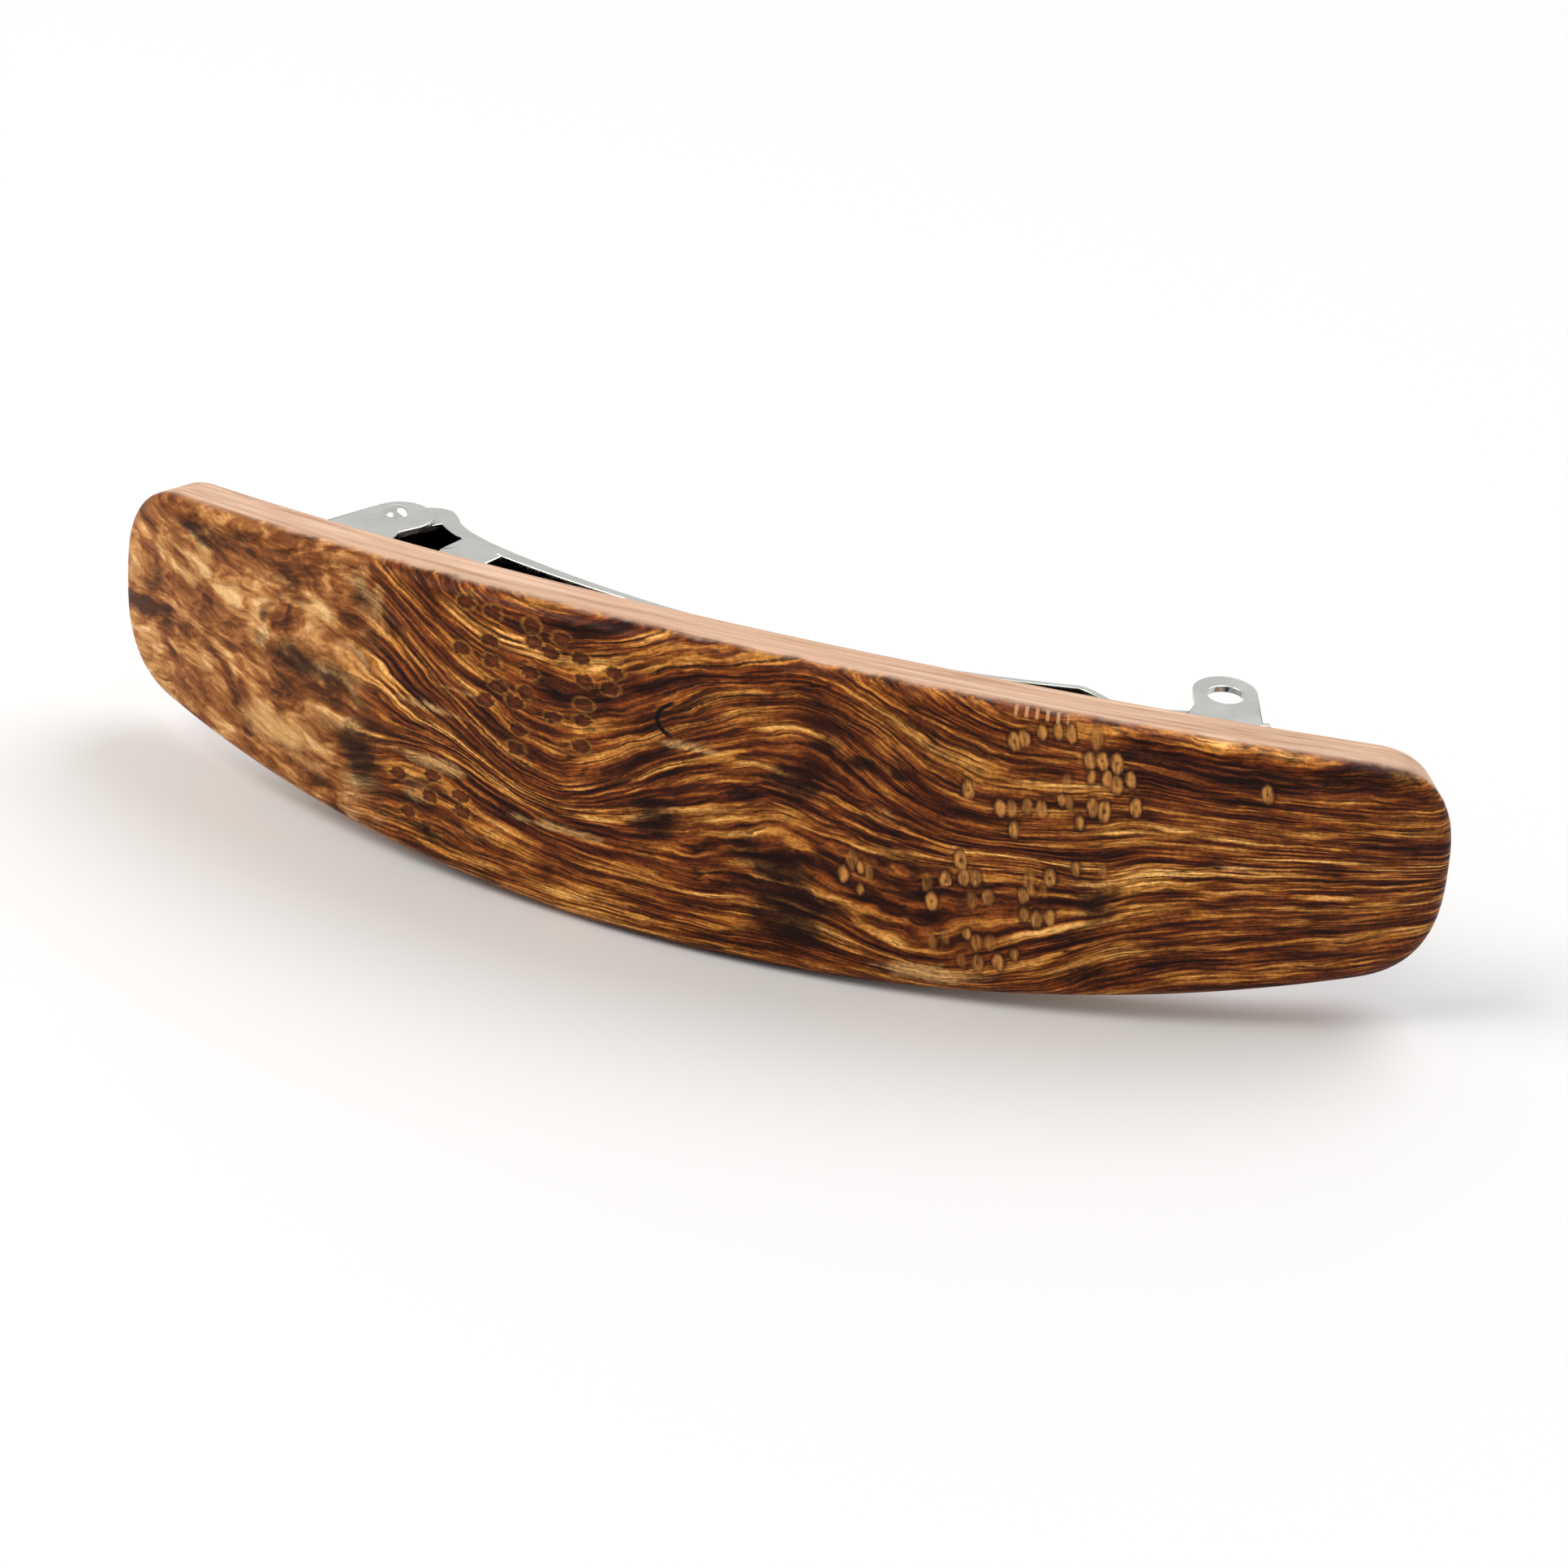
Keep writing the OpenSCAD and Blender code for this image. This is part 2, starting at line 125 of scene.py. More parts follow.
# the bar: a slab with a bowed outline and soft edges, bent round an arch; sizes in mm
barForm = {
    "length": 110,
    "middleWidth": 25,
    "endWidth": 15.2,
    "thickness": 5,
    "archRadius": 105,
    "crown": 0.4,  # how far the face swells between its edges
    "frontRound": 1.4,
    "backEase": 0.6,
    "endLength": 6.1,  # how far from each tip the end starts to round
    "endSquareness": 2.8,  # 2 is an ellipse, more is squarer
    "stations": 300,
    "facePoints": 60,
    "roundSteps": 9,
    "sideSteps": 6,
    "easeSteps": 4,
    "weld": 1e-7,  # m, how close the ends of the rings are merged
}

# where the figure of the burl lies on the face, in mm along the bar from its middle and up from its middle
figure = {
    # one grain line to a row: its rest height, then its own height at each station
    "stations": (
        -55, -48, -42, -36, -30, -27, -24, -21, -18, -15, -12, -9, -6, -3, 0, 3, 6, 9, 12, 15, 18, 21, 24,
        27, 30, 33, 36, 42, 48, 55
    ),
    "lines": [
        (14, (
            17, 16, 16, 16, 17, 16, 15, 13.6, 12.6, 12, 12, 12.6, 13.6, 15, 16, 17, 17.6, 17.8, 17, 15,
            13.4, 12.2, 12, 12, 11.8, 11.4, 11, 10.6, 10.2, 10
        )),
        (10.5, (
            13, 12.4, 12, 12, 12.4, 12.4, 12, 10.9, 9.7, 9.1, 8.9, 9.4, 10.5, 11.8, 12.8, 13.6, 14, 14, 13,
            11.6, 10, 9, 8.8, 8.8, 8.7, 8.2, 7.6, 7, 6.6, 6
        )),
        (7, (
            10, 9.4, 9, 9, 10.6, 10.6, 8.6, 7, 5.6, 4.3, 3.6, 3.5, 4.8, 6.6, 8, 9.3, 10.3, 10.5, 9.2, 7.2,
            5.4, 4.6, 4.8, 5, 5.4, 5.6, 5.2, 4.6, 4.2, 3.6
        )),
        (4, (
            7.4, 7, 6.8, 6.9, 8.3, 8.6, 6.4, 4.1, 2.1, 0, -0.9, -0.7, 1.1, 3.4, 5, 6.6, 7.6, 7.6, 5.8, 3.6,
            2.2, 1.7, 1.8, 2, 2.6, 3.2, 3, 2.6, 2.2, 1.6
        )),
        (1.5, (
            4.8, 4.4, 4.2, 4.6, 5.5, 4.4, 2.5, 1.3, 0.1, -1.6, -2.5, -2.3, -0.8, 1.2, 2.6, 3.6, 4, 3.5, 2.2,
            1.2, 0.5, 0.5, 0.6, 0.3, 0.5, 1.5, 1.5, 1.3, 1.2, 0.8
        )),
        (-1, (
            1.2, 1, 0.8, 0.4, 0, -0.7, -1, -0.8, -1.3, -2.6, -3.4, -3.6, -3, -2.4, -1.8, -0.6, 0.2, 0, -0.6,
            -1, -1.3, -1, -1, -1.6, -1.5, -0.2, 0, -0.05, 0.05, 0
        )),
        (-4, (
            -2, -1.2, -1.4, -3.4, -5.3, -4.4, -3, -2.6, -3.6, -4.7, -5.5, -6, -6.2, -6.3, -6.4, -6.2, -5.8,
            -6, -7, -8.2, -8.7, -8, -6.5, -5.5, -4.4, -3.2, -2.7, -2.4, -2.2, -1.8
        )),
        (-8, (
            -6, -5.6, -6.6, -8.2, -9.4, -9.2, -8.8, -8.8, -8.9, -9.2, -9.4, -9.6, -9.6, -9.6, -9.6, -9.6,
            -9.6, -9.8, -10.2, -10.6, -10.8, -10.6, -10.2, -9.4, -7.6, -6.8, -6, -5.2, -4.6, -3.8
        )),
        (-12, (
            -10, -9.8, -10.4, -12, -13, -13, -13, -13, -13, -13, -13, -13, -13, -13, -13, -13, -13, -13,
            -13.2, -13.6, -13.8, -13.6, -13.4, -12.8, -11.4, -10.6, -10, -9.2, -8.6, -7.4
        )),
    ],
    # soft patches: place, half length, half height and strength, from 0 to 1
    "dark": [
        (-45, 7.3, 4.2, 1.5, 0.75), (-50, 3, 1.6, 3.2, 0.55), (-34.5, 1, 4.6, 1.9, 0.85),
        (-48.2, -0.6, 2, 1, 0.6), (-31, 0.8, 4, 2.6, 0.6), (-27.8, -4.4, 2.6, 2.6, 1.0),
        (-46, -7, 3, 1, 0.4), (-31, -3.4, 4, 1.2, 0.5), (-28.6, 8.6, 1.6, 3, 0.6),
        (-23, 10.6, 2.4, 1.6, 0.6), (-21.2, -8.8, 2.2, 1.3, 0.75), (-15.5, -5.6, 1.6, 1, 0.5),
        (-3, -1.8, 2.6, 2.4, 0.9), (-1, 2, 3.4, 0.9, 0.6), (3.8, 1.8, 2.2, 0.8, 0.9),
        (7.6, 3.6, 2.4, 1.6, 1.0), (9.4, 7, 2, 1, 0.7), (12, 6, 2.6, 0.8, 0.9), (15, 5.6, 1.8, 0.5, 0.9),
        (17, 7.6, 3.4, 2.6, 0.55), (4.4, -2.6, 2, 1.8, 0.85), (7, -3.6, 3, 2, 0.95),
        (7.6, -7.5, 4.4, 4, 0.95), (15, -0.6, 4, 2.4, 0.5), (12.6, 9.4, 7, 2.2, 0.5),
        (-6.5, -8.8, 2, 1.8, 0.45), (6, 10, 3, 1.6, 0.4), (16.4, -1.8, 1, 2, 0.6),
        (29.6, -2.6, 2.2, 2.6, 0.75), (21.8, 4.4, 0.9, 2, 0.55), (31, 9.2, 3, 0.9, 0.75),
        (48, 8, 7, 1.2, 0.8), (50, 5.2, 5, 0.7, 0.5), (33, -6.4, 5, 2.2, 0.5), (29, -9, 4, 1.6, 0.6),
        (14, -6.6, 5, 1, 0.5), (36, 3, 1.4, 1, 0.5), (-37.6, 3.6, 0.7, 1.4, 0.6),
    ],
    "pale": [
        (-36.4, -5.6, 4.6, 1.7, 0.95), (-46, 3.4, 1.6, 0.8, 0.8), (-36.2, 7, 3, 0.9, 0.5),
        (-33.5, 5.6, 3.2, 0.8, 0.6), (-32.6, -7.2, 4, 1, 0.6), (-21, -2.8, 3.4, 0.7, 0.9),
        (-22, -5.6, 3.4, 2, 0.45), (-21.5, 1.7, 4, 0.45, 0.8), (-19, 3.7, 3.4, 0.35, 0.7),
        (18, -10.2, 4.6, 0.9, 0.9), (-11, -4.8, 5, 0.5, 0.7), (-53, -1.6, 1.4, 1.8, 0.5),
        (-0.8, 4.6, 3.6, 0.5, 0.8), (39, 0.8, 3.6, 0.28, 0.85), (45, -3.4, 5, 0.7, 0.35),
        (-26.6, 8.6, 0.8, 2, 0.7), (14.4, 2.6, 2.2, 1.2, 0.4), (13, -2.4, 1.6, 0.7, 0.3),
        (-17, -7.6, 2.4, 1, 0.5), (-41, 8.4, 4, 0.5, 0.4), (3, -8, 4, 0.4, 0.35), (-42, 1.4, 2.6, 0.8, 0.4),
    ],
    "smoothing": (-1.6, -0.8, 0, 0.8, 1.6),  # places along a grain line whose heights are averaged
    "leastGap": 0.3,  # least height between two grain lines
    "mottled": (24, 32),  # how far left of the middle the grain turns into mottling
}


def spread(places, s, z):
    # how far inside any of these patches each point lies, from 0 to about 1
    total = np.zeros_like(s)
    for middleS, middleZ, halfLength, halfHeight, strength in places:
        away = ((s - middleS) / halfLength) ** 2 + ((z - middleZ) / halfHeight) ** 2
        total = np.maximum(total, strength * np.exp(-away))
    return total


def smoothStep(value, low, high):
    t = np.clip((value - low) / (high - low), 0, 1)
    return t * t * (3 - 2 * t)


def restHeight(s, z):
    # the rest height of the grain line through each point
    heights, rests = [], []
    for rest, own in figure["lines"]:
        rests.append(rest)
        nearby = [np.interp(s + shift, figure["stations"], own) for shift in figure["smoothing"]]
        heights.append(sum(nearby) / len(nearby))
    found = rests[0] + (z - heights[0])
    for above, below, restAbove, restBelow in zip(heights, heights[1:], rests, rests[1:]):
        share = (z - below) / np.maximum(above - below, figure["leastGap"])
        found = np.where(z < above, restBelow + share * (restAbove - restBelow), found)
    return np.where(z < heights[-1], rests[-1] + (z - heights[-1]), found)


def barProfile():
    # (depth below the face, inset from the outline) of each ring, from the face round to the back
    form = barForm
    rings = []
    for i in range(form["roundSteps"] + 1):
        turn = math.pi / 2 * i / form["roundSteps"]
        rings.append((form["frontRound"] * (1 - math.cos(turn)), form["frontRound"] * (1 - math.sin(turn))))
    sideEnd = form["thickness"] - form["backEase"]
    for i in range(1, form["sideSteps"] + 1):
        rings.append((form["frontRound"] + (sideEnd - form["frontRound"]) * i / form["sideSteps"], 0))
    for i in range(1, form["easeSteps"] + 1):
        turn = math.pi / 2 * i / form["easeSteps"]
        rings.append((sideEnd + form["backEase"] * math.sin(turn), form["backEase"] * (1 - math.cos(turn))))
    return rings


def halfWidth(s, inset):
    form = barForm
    halfLength = form["length"] / 2
    end = np.clip((np.abs(s) - (halfLength - inset - form["endLength"])) / form["endLength"], 0, 1)
    narrowing = (form["middleWidth"] - form["endWidth"]) / 2 * (s / halfLength) ** 2
    bow = form["middleWidth"] / 2 - narrowing - inset
    return bow * (1 - end ** form["endSquareness"]) ** (1 / form["endSquareness"])


def flatSlab():
    # the bar before it is bent: X along, Y depth below the face, Z across, in mm
    form = barForm
    count = form["stations"]
    turn = np.linspace(0, math.pi, count + 1)
    rings = barProfile()

    def edgeRow(depth, inset, side):
        s = (form["length"] / 2 - inset) * np.cos(turn)
        return np.stack([s, np.full_like(s, depth), side * halfWidth(s, inset)], 1)

    def innerRow(depth, inset, share, crown):
        s = (form["length"] / 2 - inset) * np.cos(turn)
        width = halfWidth(s, inset)
        rise = crown * (1 - share * share) * (width / halfWidth(np.zeros(1), inset)[0]) ** 2
        return np.stack([s, depth - rise, share * width], 1)

    across = form["facePoints"]
    shares = [math.sin(math.pi / 2 * (1 - 2 * i / across)) for i in range(across + 1)]
    rows = [innerRow(rings[0][0], rings[0][1], share, form["crown"]) for share in shares]
    rows += [edgeRow(depth, inset, -1) for depth, inset in rings[1:]]
    rows += [innerRow(rings[-1][0], rings[-1][1], -share, 0) for share in shares[1:]]
    rows += [edgeRow(depth, inset, 1) for depth, inset in reversed(rings[1:-1])]
    points = np.stack(rows)
    grid = np.arange(points.shape[0] * points.shape[1]).reshape(points.shape[:2])
    faces = []
    for r in range(grid.shape[0]):
        a, b = grid[r], grid[(r + 1) % grid.shape[0]]
        faces += [(a[j], a[j + 1], b[j + 1], b[j]) for j in range(count)]
    return points.reshape(-1, 3), faces


def bendTree():
    # bends the slab round the arch and keeps where each point lay in the wood
    tree = bpy.data.node_groups.new("bendRoundArch", "GeometryNodeTree")
    face = tree.interface
    face.new_socket("Geometry", in_out="INPUT", socket_type="NodeSocketGeometry")
    face.new_socket("Arch Radius", in_out="INPUT", socket_type="NodeSocketFloat")
    face.new_socket("Arch Centre", in_out="INPUT", socket_type="NodeSocketVector")
    face.new_socket("Wood", in_out="INPUT", socket_type="NodeSocketMaterial")
    face.new_socket("Geometry", in_out="OUTPUT", socket_type="NodeSocketGeometry")
    source = addNode(tree, "NodeGroupInput", out=None)
    radius, centre = source.outputs["Arch Radius"], source.outputs["Arch Centre"]
    place = addNode(tree, "GeometryNodeInputPosition")
    flat = addNode(tree, "ShaderNodeSeparateXYZ", {}, {0: place}, None)
    angle = addNode(tree, "ShaderNodeMath", {"operation": "DIVIDE"}, {0: flat.outputs[0], 1: radius})
    reach = addNode(tree, "ShaderNodeMath", {"operation": "SUBTRACT"}, {0: radius, 1: flat.outputs[1]})
    sine = addNode(tree, "ShaderNodeMath", {"operation": "SINE"}, {0: angle})
    cosine = addNode(tree, "ShaderNodeMath", {"operation": "COSINE"}, {0: angle})
    x = addNode(tree, "ShaderNodeMath", {"operation": "MULTIPLY"}, {0: reach, 1: sine})
    y = addNode(tree, "ShaderNodeMath", {"operation": "MULTIPLY"}, {0: reach, 1: cosine})
    back = addNode(tree, "ShaderNodeMath", {"operation": "MULTIPLY"}, {0: y, 1: -1.0})
    bent = addNode(tree, "ShaderNodeCombineXYZ", {}, {0: x, 1: back, 2: flat.outputs[2]})
    moved = addNode(tree, "ShaderNodeVectorMath", {"operation": "ADD"}, {0: bent, 1: centre})
    slab, wood = source.outputs["Geometry"], source.outputs["Wood"]
    placed = addNode(tree, "GeometryNodeSetPosition", {}, {"Geometry": slab, "Position": moved})
    smooth = addNode(tree, "GeometryNodeSetShadeSmooth", {}, {"Geometry": placed})
    real = addNode(tree, "GeometryNodeRealizeInstances", {}, {"Geometry": smooth})
    coated = addNode(tree, "GeometryNodeSetMaterial", {}, {"Geometry": real, "Material": wood})
    addNode(tree, "NodeGroupOutput", {}, {"Geometry": coated}, None)
    return tree


def plainMesh(source, name):
    # the evaluated object as a plain mesh object of its own
    graph = bpy.context.evaluated_depsgraph_get()
    mesh = bpy.data.meshes.new_from_object(
        source.evaluated_get(graph), preserve_all_data_layers=True, depsgraph=graph
    )
    mesh.name = name
    made = bpy.data.objects.new(name, mesh)
    scene.collection.objects.link(made)
    bpy.data.objects.remove(source)
    return made


def makeBar(wood, apex):
    points, faces = flatSlab()
    mesh = bpy.data.meshes.new("flatSlab")
    mesh.from_pydata((points * mm).tolist(), [], [[int(i) for i in f] for f in faces])
    work = bmesh.new()
    work.from_mesh(mesh)
    bmesh.ops.remove_doubles(work, verts=work.verts, dist=barForm["weld"])
    bmesh.ops.recalc_face_normals(work, faces=work.faces)
    work.to_mesh(mesh)
    work.free()
    spots = np.empty(len(mesh.vertices) * 3, np.float32)
    mesh.vertices.foreach_get("co", spots)
    s, depth, z = (spots.reshape(-1, 3) / mm).T.astype(float)
    dark, pale = spread(figure["dark"], s, z), spread(figure["pale"], s, z)
    layers = {
        # where each point lies in the wood, and at which rest height its grain line runs
        "place": np.stack([s, z, depth], 1),
        "flow": np.stack([s, restHeight(s, z), depth], 1),
        "patches": np.stack([dark, pale, smoothStep(-s, *figure["mottled"])], 1),
    }
    for name, values in layers.items():
        layer = mesh.attributes.new(name, "FLOAT_VECTOR", "POINT")
        layer.data.foreach_set("vector", values.astype(np.float32).ravel())
    slab = bpy.data.objects.new("flatSlab", mesh)
    scene.collection.objects.link(slab)
    tree = bendTree()
    bend = slab.modifiers.new("bend", "NODES")
    bend.node_group = tree
    ids = {item.name: item.identifier for item in tree.interface.items_tree if item.in_out == "INPUT"}
    bend[ids["Arch Radius"]] = barForm["archRadius"] * mm
    bend[ids["Arch Centre"]] = (0.0, apex.y + barForm["archRadius"] * mm, apex.z)
    bend[ids["Wood"]] = wood
    bar = plainMesh(slab, "burl_bar")
    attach(bar, "bar")
    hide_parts("wood_bar")
    return bar


burlLook = {
    "drift": (9, 2.4),  # mm over which the figure drifts and curls
    "wander": (0.55, 0.9),  # how far it drifts and curls, in mm
    "band": 1.5,  # mm between broad bands
    "fibre": 0.36,  # mm between fine streaks, drawn as coarse as they need to be to show
    "pore": 0.17,  # mm between pores
    "speck": 0.3,  # mm between specks
    "vein": (2.1, 0.85, "#1e0a06"),  # mm between the thin dark veins, their strength and tone
    "flowTones": [
        (0.34, "#2c0d05"), (0.43, "#52220c"), (0.5, "#7c3f15"), (0.57, "#ad6f2e"), (0.67, "#e3ab60"),
    ],
    "mottleTones": [
        (0.34, "#4c2812"), (0.43, "#78431f"), (0.5, "#9a5f30"), (0.58, "#c48a50"), (0.68, "#e8bb80"),
    ],
    "sideTones": [(0.3, "#ad866d"), (0.5, "#c8a389"), (0.7, "#dbbba3")],
    "paleTone": ("#d9a76a", 0.8),  # tone and strength of the pale and the dark patches
    "darkTone": ("#1f0a06", 0.9),
    "crackTone": "#120806",
    "boldTone": "#1c0a05",
    "combTone": "#d9a070",
    "ior": 1.5,
    "sheen": 0.1,  # rubbed oil reflects less than a varnish does
    "dent": 0.06,  # mm, how deep the pores are
    # rings of each small eye and each brown spot, outermost first: where they fade out, tone and strength
    "eyeRings": [(0.46, 0.8, "#2a0d05", 0.8), (0.3, 0.56, "#cf8d48", 0.8), (0.04, 0.2, "#4a200d", 0.85)],
    "spotRings": [(0.46, 0.6, "#a8702f", 0.6), (0.4, 0.5, "#45190b", 0.9), (0.2, 0.36, "#6b3013", 0.6)],
    "eye": (1.05, 1.8),  # mm between the middles of neighbouring eyes
    "spot": (2.5, 1.7),  # mm between the middles of neighbouring spots
    "lean": -9,  # degrees that the eyes lean
    # groups of eyes: middle, half length and half height
    "eyeGroups": [
        (24.8, 10.2, 3.8, 1.1), (28.8, 7.2, 2.6, 2.0), (31.7, 6.3, 0.9, 1.2), (27, 4.3, 2.6, 1.3),
        (22.8, 4, 1.8, 1.5), (19.8, 5.2, 0.9, 0.8), (30.6, 0.6, 1.1, 1.1), (25.8, -3, 1.6, 2.6),
        (27.6, -1.4, 1.2, 1.4), (19.6, -1.6, 2.2, 1.2), (17.6, -4, 0.8, 1.6), (12.8, -2.6, 1.6, 1.6),
        (21.6, -7.6, 3.6, 1.3), (24.2, -9, 0.9, 1.4), (9.7, -0.6, 0.8, 0.9), (21.4, -2.6, 1.4, 1.2),
        (40.7, 6.7, 0.6, 0.7), (36.4, 8.6, 0.45, 0.5),
    ],
    # bold dark lines: rest height, middle, half length and thickness
    "boldLines": [
        (4, -19, 9, 0.16), (3.4, -11, 8, 0.12), (1.5, -19, 9, 0.15), (0.4, -16, 8, 0.12), (-1, -17, 9, 0.2),
        (10.5, -13, 8, 0.16), (11.6, -9, 6, 0.12), (5.6, -2, 5, 0.1), (2.6, -6, 7, 0.12), (-4, -14, 8, 0.1),
        (7, 1, 6, 0.1), (8, 3, 7, 0.1), (9.2, 1, 6, 0.1), (-0.8, 40, 10, 0.09), (2.2, 13, 5, 0.1),
        (-3.4, 6, 7, 0.1),
    ],
    "comb": (24.2, 2.2, 0.75),  # middle, half length and spacing of the pale bars on the upper edge
    "crack": (-1.7, 6.4, 1.35),  # middle and radius of the short curved crack
    "spotGroups": [
        (-15, 9.6, 6.5, 2), (-13.5, 5.6, 7.5, 2.6), (-8, 8, 4.5, 2), (-12, 1.6, 5, 1.1),
        (-21, -6.4, 4.4, 2.6),
    ],
}


# settings that many nodes share
eased = {"interpolation_type": "SMOOTHSTEP"}
inColour = {"data_type": "RGBA"}


def grain(tree, source, size, detail, roughness=0.6, distortion=0.0, out=0):
    # fibres of a real size: their length along, across and into the wood, in mm
    scaled = addNode(tree, "ShaderNodeVectorMath", {"operation": "MULTIPLY"}, {
        0: source, 1: tuple(1 / v for v in size)
    })
    sizes = {"Vector": scaled, "Scale": 1.0, "Detail": detail}
    return addNode(
        tree, "ShaderNodeTexNoise", {}, {**sizes, "Roughness": roughness, "Distortion": distortion}, out
    )


def cellsOf(tree, source, width, height, randomness):
    # one cell for each eye or spot, of a real width and height in mm
    scaled = addNode(tree, "ShaderNodeVectorMath", {"operation": "MULTIPLY"}, {
        0: source, 1: (1 / width, 1 / height, 0)
    })
    sizes = {"Vector": scaled, "Scale": 1.0, "Randomness": randomness}
    return addNode(tree, "ShaderNodeTexVoronoi", {"voronoi_dimensions": "2D"}, sizes, None)


def inside(tree, heart, groups):
    # 1 where the middle of a cell lies in one of the groups
    gaps = []
    for groupS, groupZ, groupLength, groupHeight in groups:
        away = addNode(tree, "ShaderNodeVectorMath", {"operation": "SUBTRACT"}, {
            0: heart, 1: (groupS, groupZ, 0)
        })
        away = addNode(tree, "ShaderNodeVectorMath", {"operation": "MULTIPLY"}, {
            0: away, 1: (1 / groupLength, 1 / groupHeight, 0)
        })
        gap = addNode(tree, "ShaderNodeVectorMath", {"operation": "LENGTH"}, {0: away}, "Value")
        gaps.append(gap)
    nearest = gaps[0]
    for gap in gaps[1:]:
        nearest = addNode(tree, "ShaderNodeMath", {"operation": "MINIMUM"}, {0: nearest, 1: gap})
    return addNode(tree, "ShaderNodeMath", {"operation": "LESS_THAN"}, {0: nearest, 1: 1.0})


def grainField(tree):
    # where a point lies in the wood, the line of grain it lies on, and the fibres, pores and specks there
    look = burlLook
    place = addNode(tree, "ShaderNodeAttribute", {"attribute_name": "place"}, out=1)
    flow = addNode(tree, "ShaderNodeAttribute", {"attribute_name": "flow"}, out=1)
    spot = addNode(tree, "ShaderNodeSeparateXYZ", {}, {0: place}, None)
    # the figure wanders: a broad drift and a tighter curl
    curls = []
    for size, reach in zip(look["drift"], look["wander"]):
        noise = grain(tree, place, (size * 1.6, size, size), 2.0, 0.5, 0.0, "Color")
        centred = addNode(tree, "ShaderNodeVectorMath", {"operation": "SUBTRACT"}, {
            0: noise, 1: (0.5, 0.5, 0.5)
        })
        curl = addNode(tree, "ShaderNodeVectorMath", {"operation": "MULTIPLY"}, {
            0: centred, 1: (reach * 3, reach * 2, reach)
        })
        curls.append(curl)
    tighter = addNode(tree, "ShaderNodeVectorMath", {"operation": "MULTIPLY"}, {
        0: curls[1], 1: (0.6, 0.45, 0.4)
    })
    line = addNode(tree, "ShaderNodeVectorMath", {"operation": "ADD"}, {
        0: flow, 1: addNode(tree, "ShaderNodeVectorMath", {"operation": "ADD"}, {0: curls[0], 1: tighter})
    })
    wilder = addNode(tree, "ShaderNodeVectorMath", {"operation": "MULTIPLY"}, {
        0: addNode(tree, "ShaderNodeVectorMath", {"operation": "ADD"}, {0: curls[0], 1: curls[1]}),
        1: (1.2, 1.4, 1),
    })
    loose = addNode(tree, "ShaderNodeVectorMath", {"operation": "ADD"}, {0: place, 1: wilder})

    bands = grain(tree, line, (24, look["band"], 8), 4.0, 0.66)
    fibres = grain(tree, line, (6, look["fibre"], 2), 3.0, 0.62)
    pores = grain(tree, line, (1.3, look["pore"], 1), 1.0, 0.5)
    specks = grain(tree, place, (0.34, look["speck"], look["speck"]), 2.0, 0.6)
    cloud = grain(tree, loose, (6.5, 3.6, 5), 4.0, 0.55, 0.9)
    ragged = grain(tree, line, (2.6, 1.1, 2), 4.0, 0.68)
    wobble = addNode(tree, "ShaderNodeVectorMath", {"operation": "MULTIPLY"}, {
        0: curls[1], 1: (0.16, 0.2, 0)
    })
    return {
        "place": place, "along": spot.outputs[0], "up": spot.outputs[1], "depth": spot.outputs[2],
        "line": line, "curls": curls, "wobble": wobble, "bands": bands, "fibres": fibres, "pores": pores,
        "specks": specks, "cloud": cloud, "ragged": ragged,
    }


def groundTone(tree, wood, mottled):
    look = burlLook
    # gold and brown bands where the grain flows, softer mottling where it doesn't
    banded = addNode(tree, "ShaderNodeMath", {"operation": "MULTIPLY_ADD"}, {
        0: wood["bands"], 1: 0.78, 2: -0.15
    })
    banded = addNode(tree, "ShaderNodeMath", {"operation": "MULTIPLY_ADD"}, {
        0: wood["fibres"], 1: 0.5, 2: banded
    })
    flowing = addNode(tree, "ShaderNodeValToRGB", {}, {"Fac": banded}, None)
    fillRamp(flowing, look["flowTones"])
    turned = addNode(tree, "ShaderNodeVectorMath", {"operation": "MULTIPLY"}, {
        0: wood["curls"][0], 1: (1.0, 1.6, 0)
    })
    curly = grain(
        tree,
        addNode(tree, "ShaderNodeVectorMath", {"operation": "ADD"}, {0: wood["line"], 1: turned}),
        (2.6, 1.0, 2),
        3.0,
        0.55,
        0.8,
    )
    knotty = addNode(tree, "ShaderNodeMath", {"operation": "MULTIPLY_ADD"}, {
        0: wood["cloud"], 1: 0.95, 2: -0.25
    })
    knotty = addNode(tree, "ShaderNodeMath", {"operation": "MULTIPLY_ADD"}, {0: curly, 1: 0.55, 2: knotty})
    mottle = addNode(tree, "ShaderNodeValToRGB", {}, {"Fac": knotty}, None)
    fillRamp(mottle, look["mottleTones"])
    return addNode(tree, "ShaderNodeMix", inColour, {
        "Factor": mottled, "A": flowing.outputs[0], "B": mottle.outputs[0]
    }, 2)


def paintPatches(tree, wood, colour, dark, pale):
    look = burlLook
    # ragged dark and pale patches
    rough = addNode(tree, "ShaderNodeMath", {"operation": "MULTIPLY_ADD"}, {
        0: wood["ragged"], 1: 1.3, 2: -0.65
    })
    for amount, (tone, most) in ((pale, look["paleTone"]), (dark, look["darkTone"])):
        mask = addNode(tree, "ShaderNodeMapRange", eased, {
            "Value": addNode(tree, "ShaderNodeMath", {"operation": "ADD"}, {0: amount, 1: rough}),
            "From Min": 0.3,
            "From Max": 0.85,
            "To Min": 0.0,
            "To Max": most,
        })
        colour = addNode(tree, "ShaderNodeMix", inColour, {"Factor": mask, "A": colour, "B": linear(tone)}, 2)
    return colour


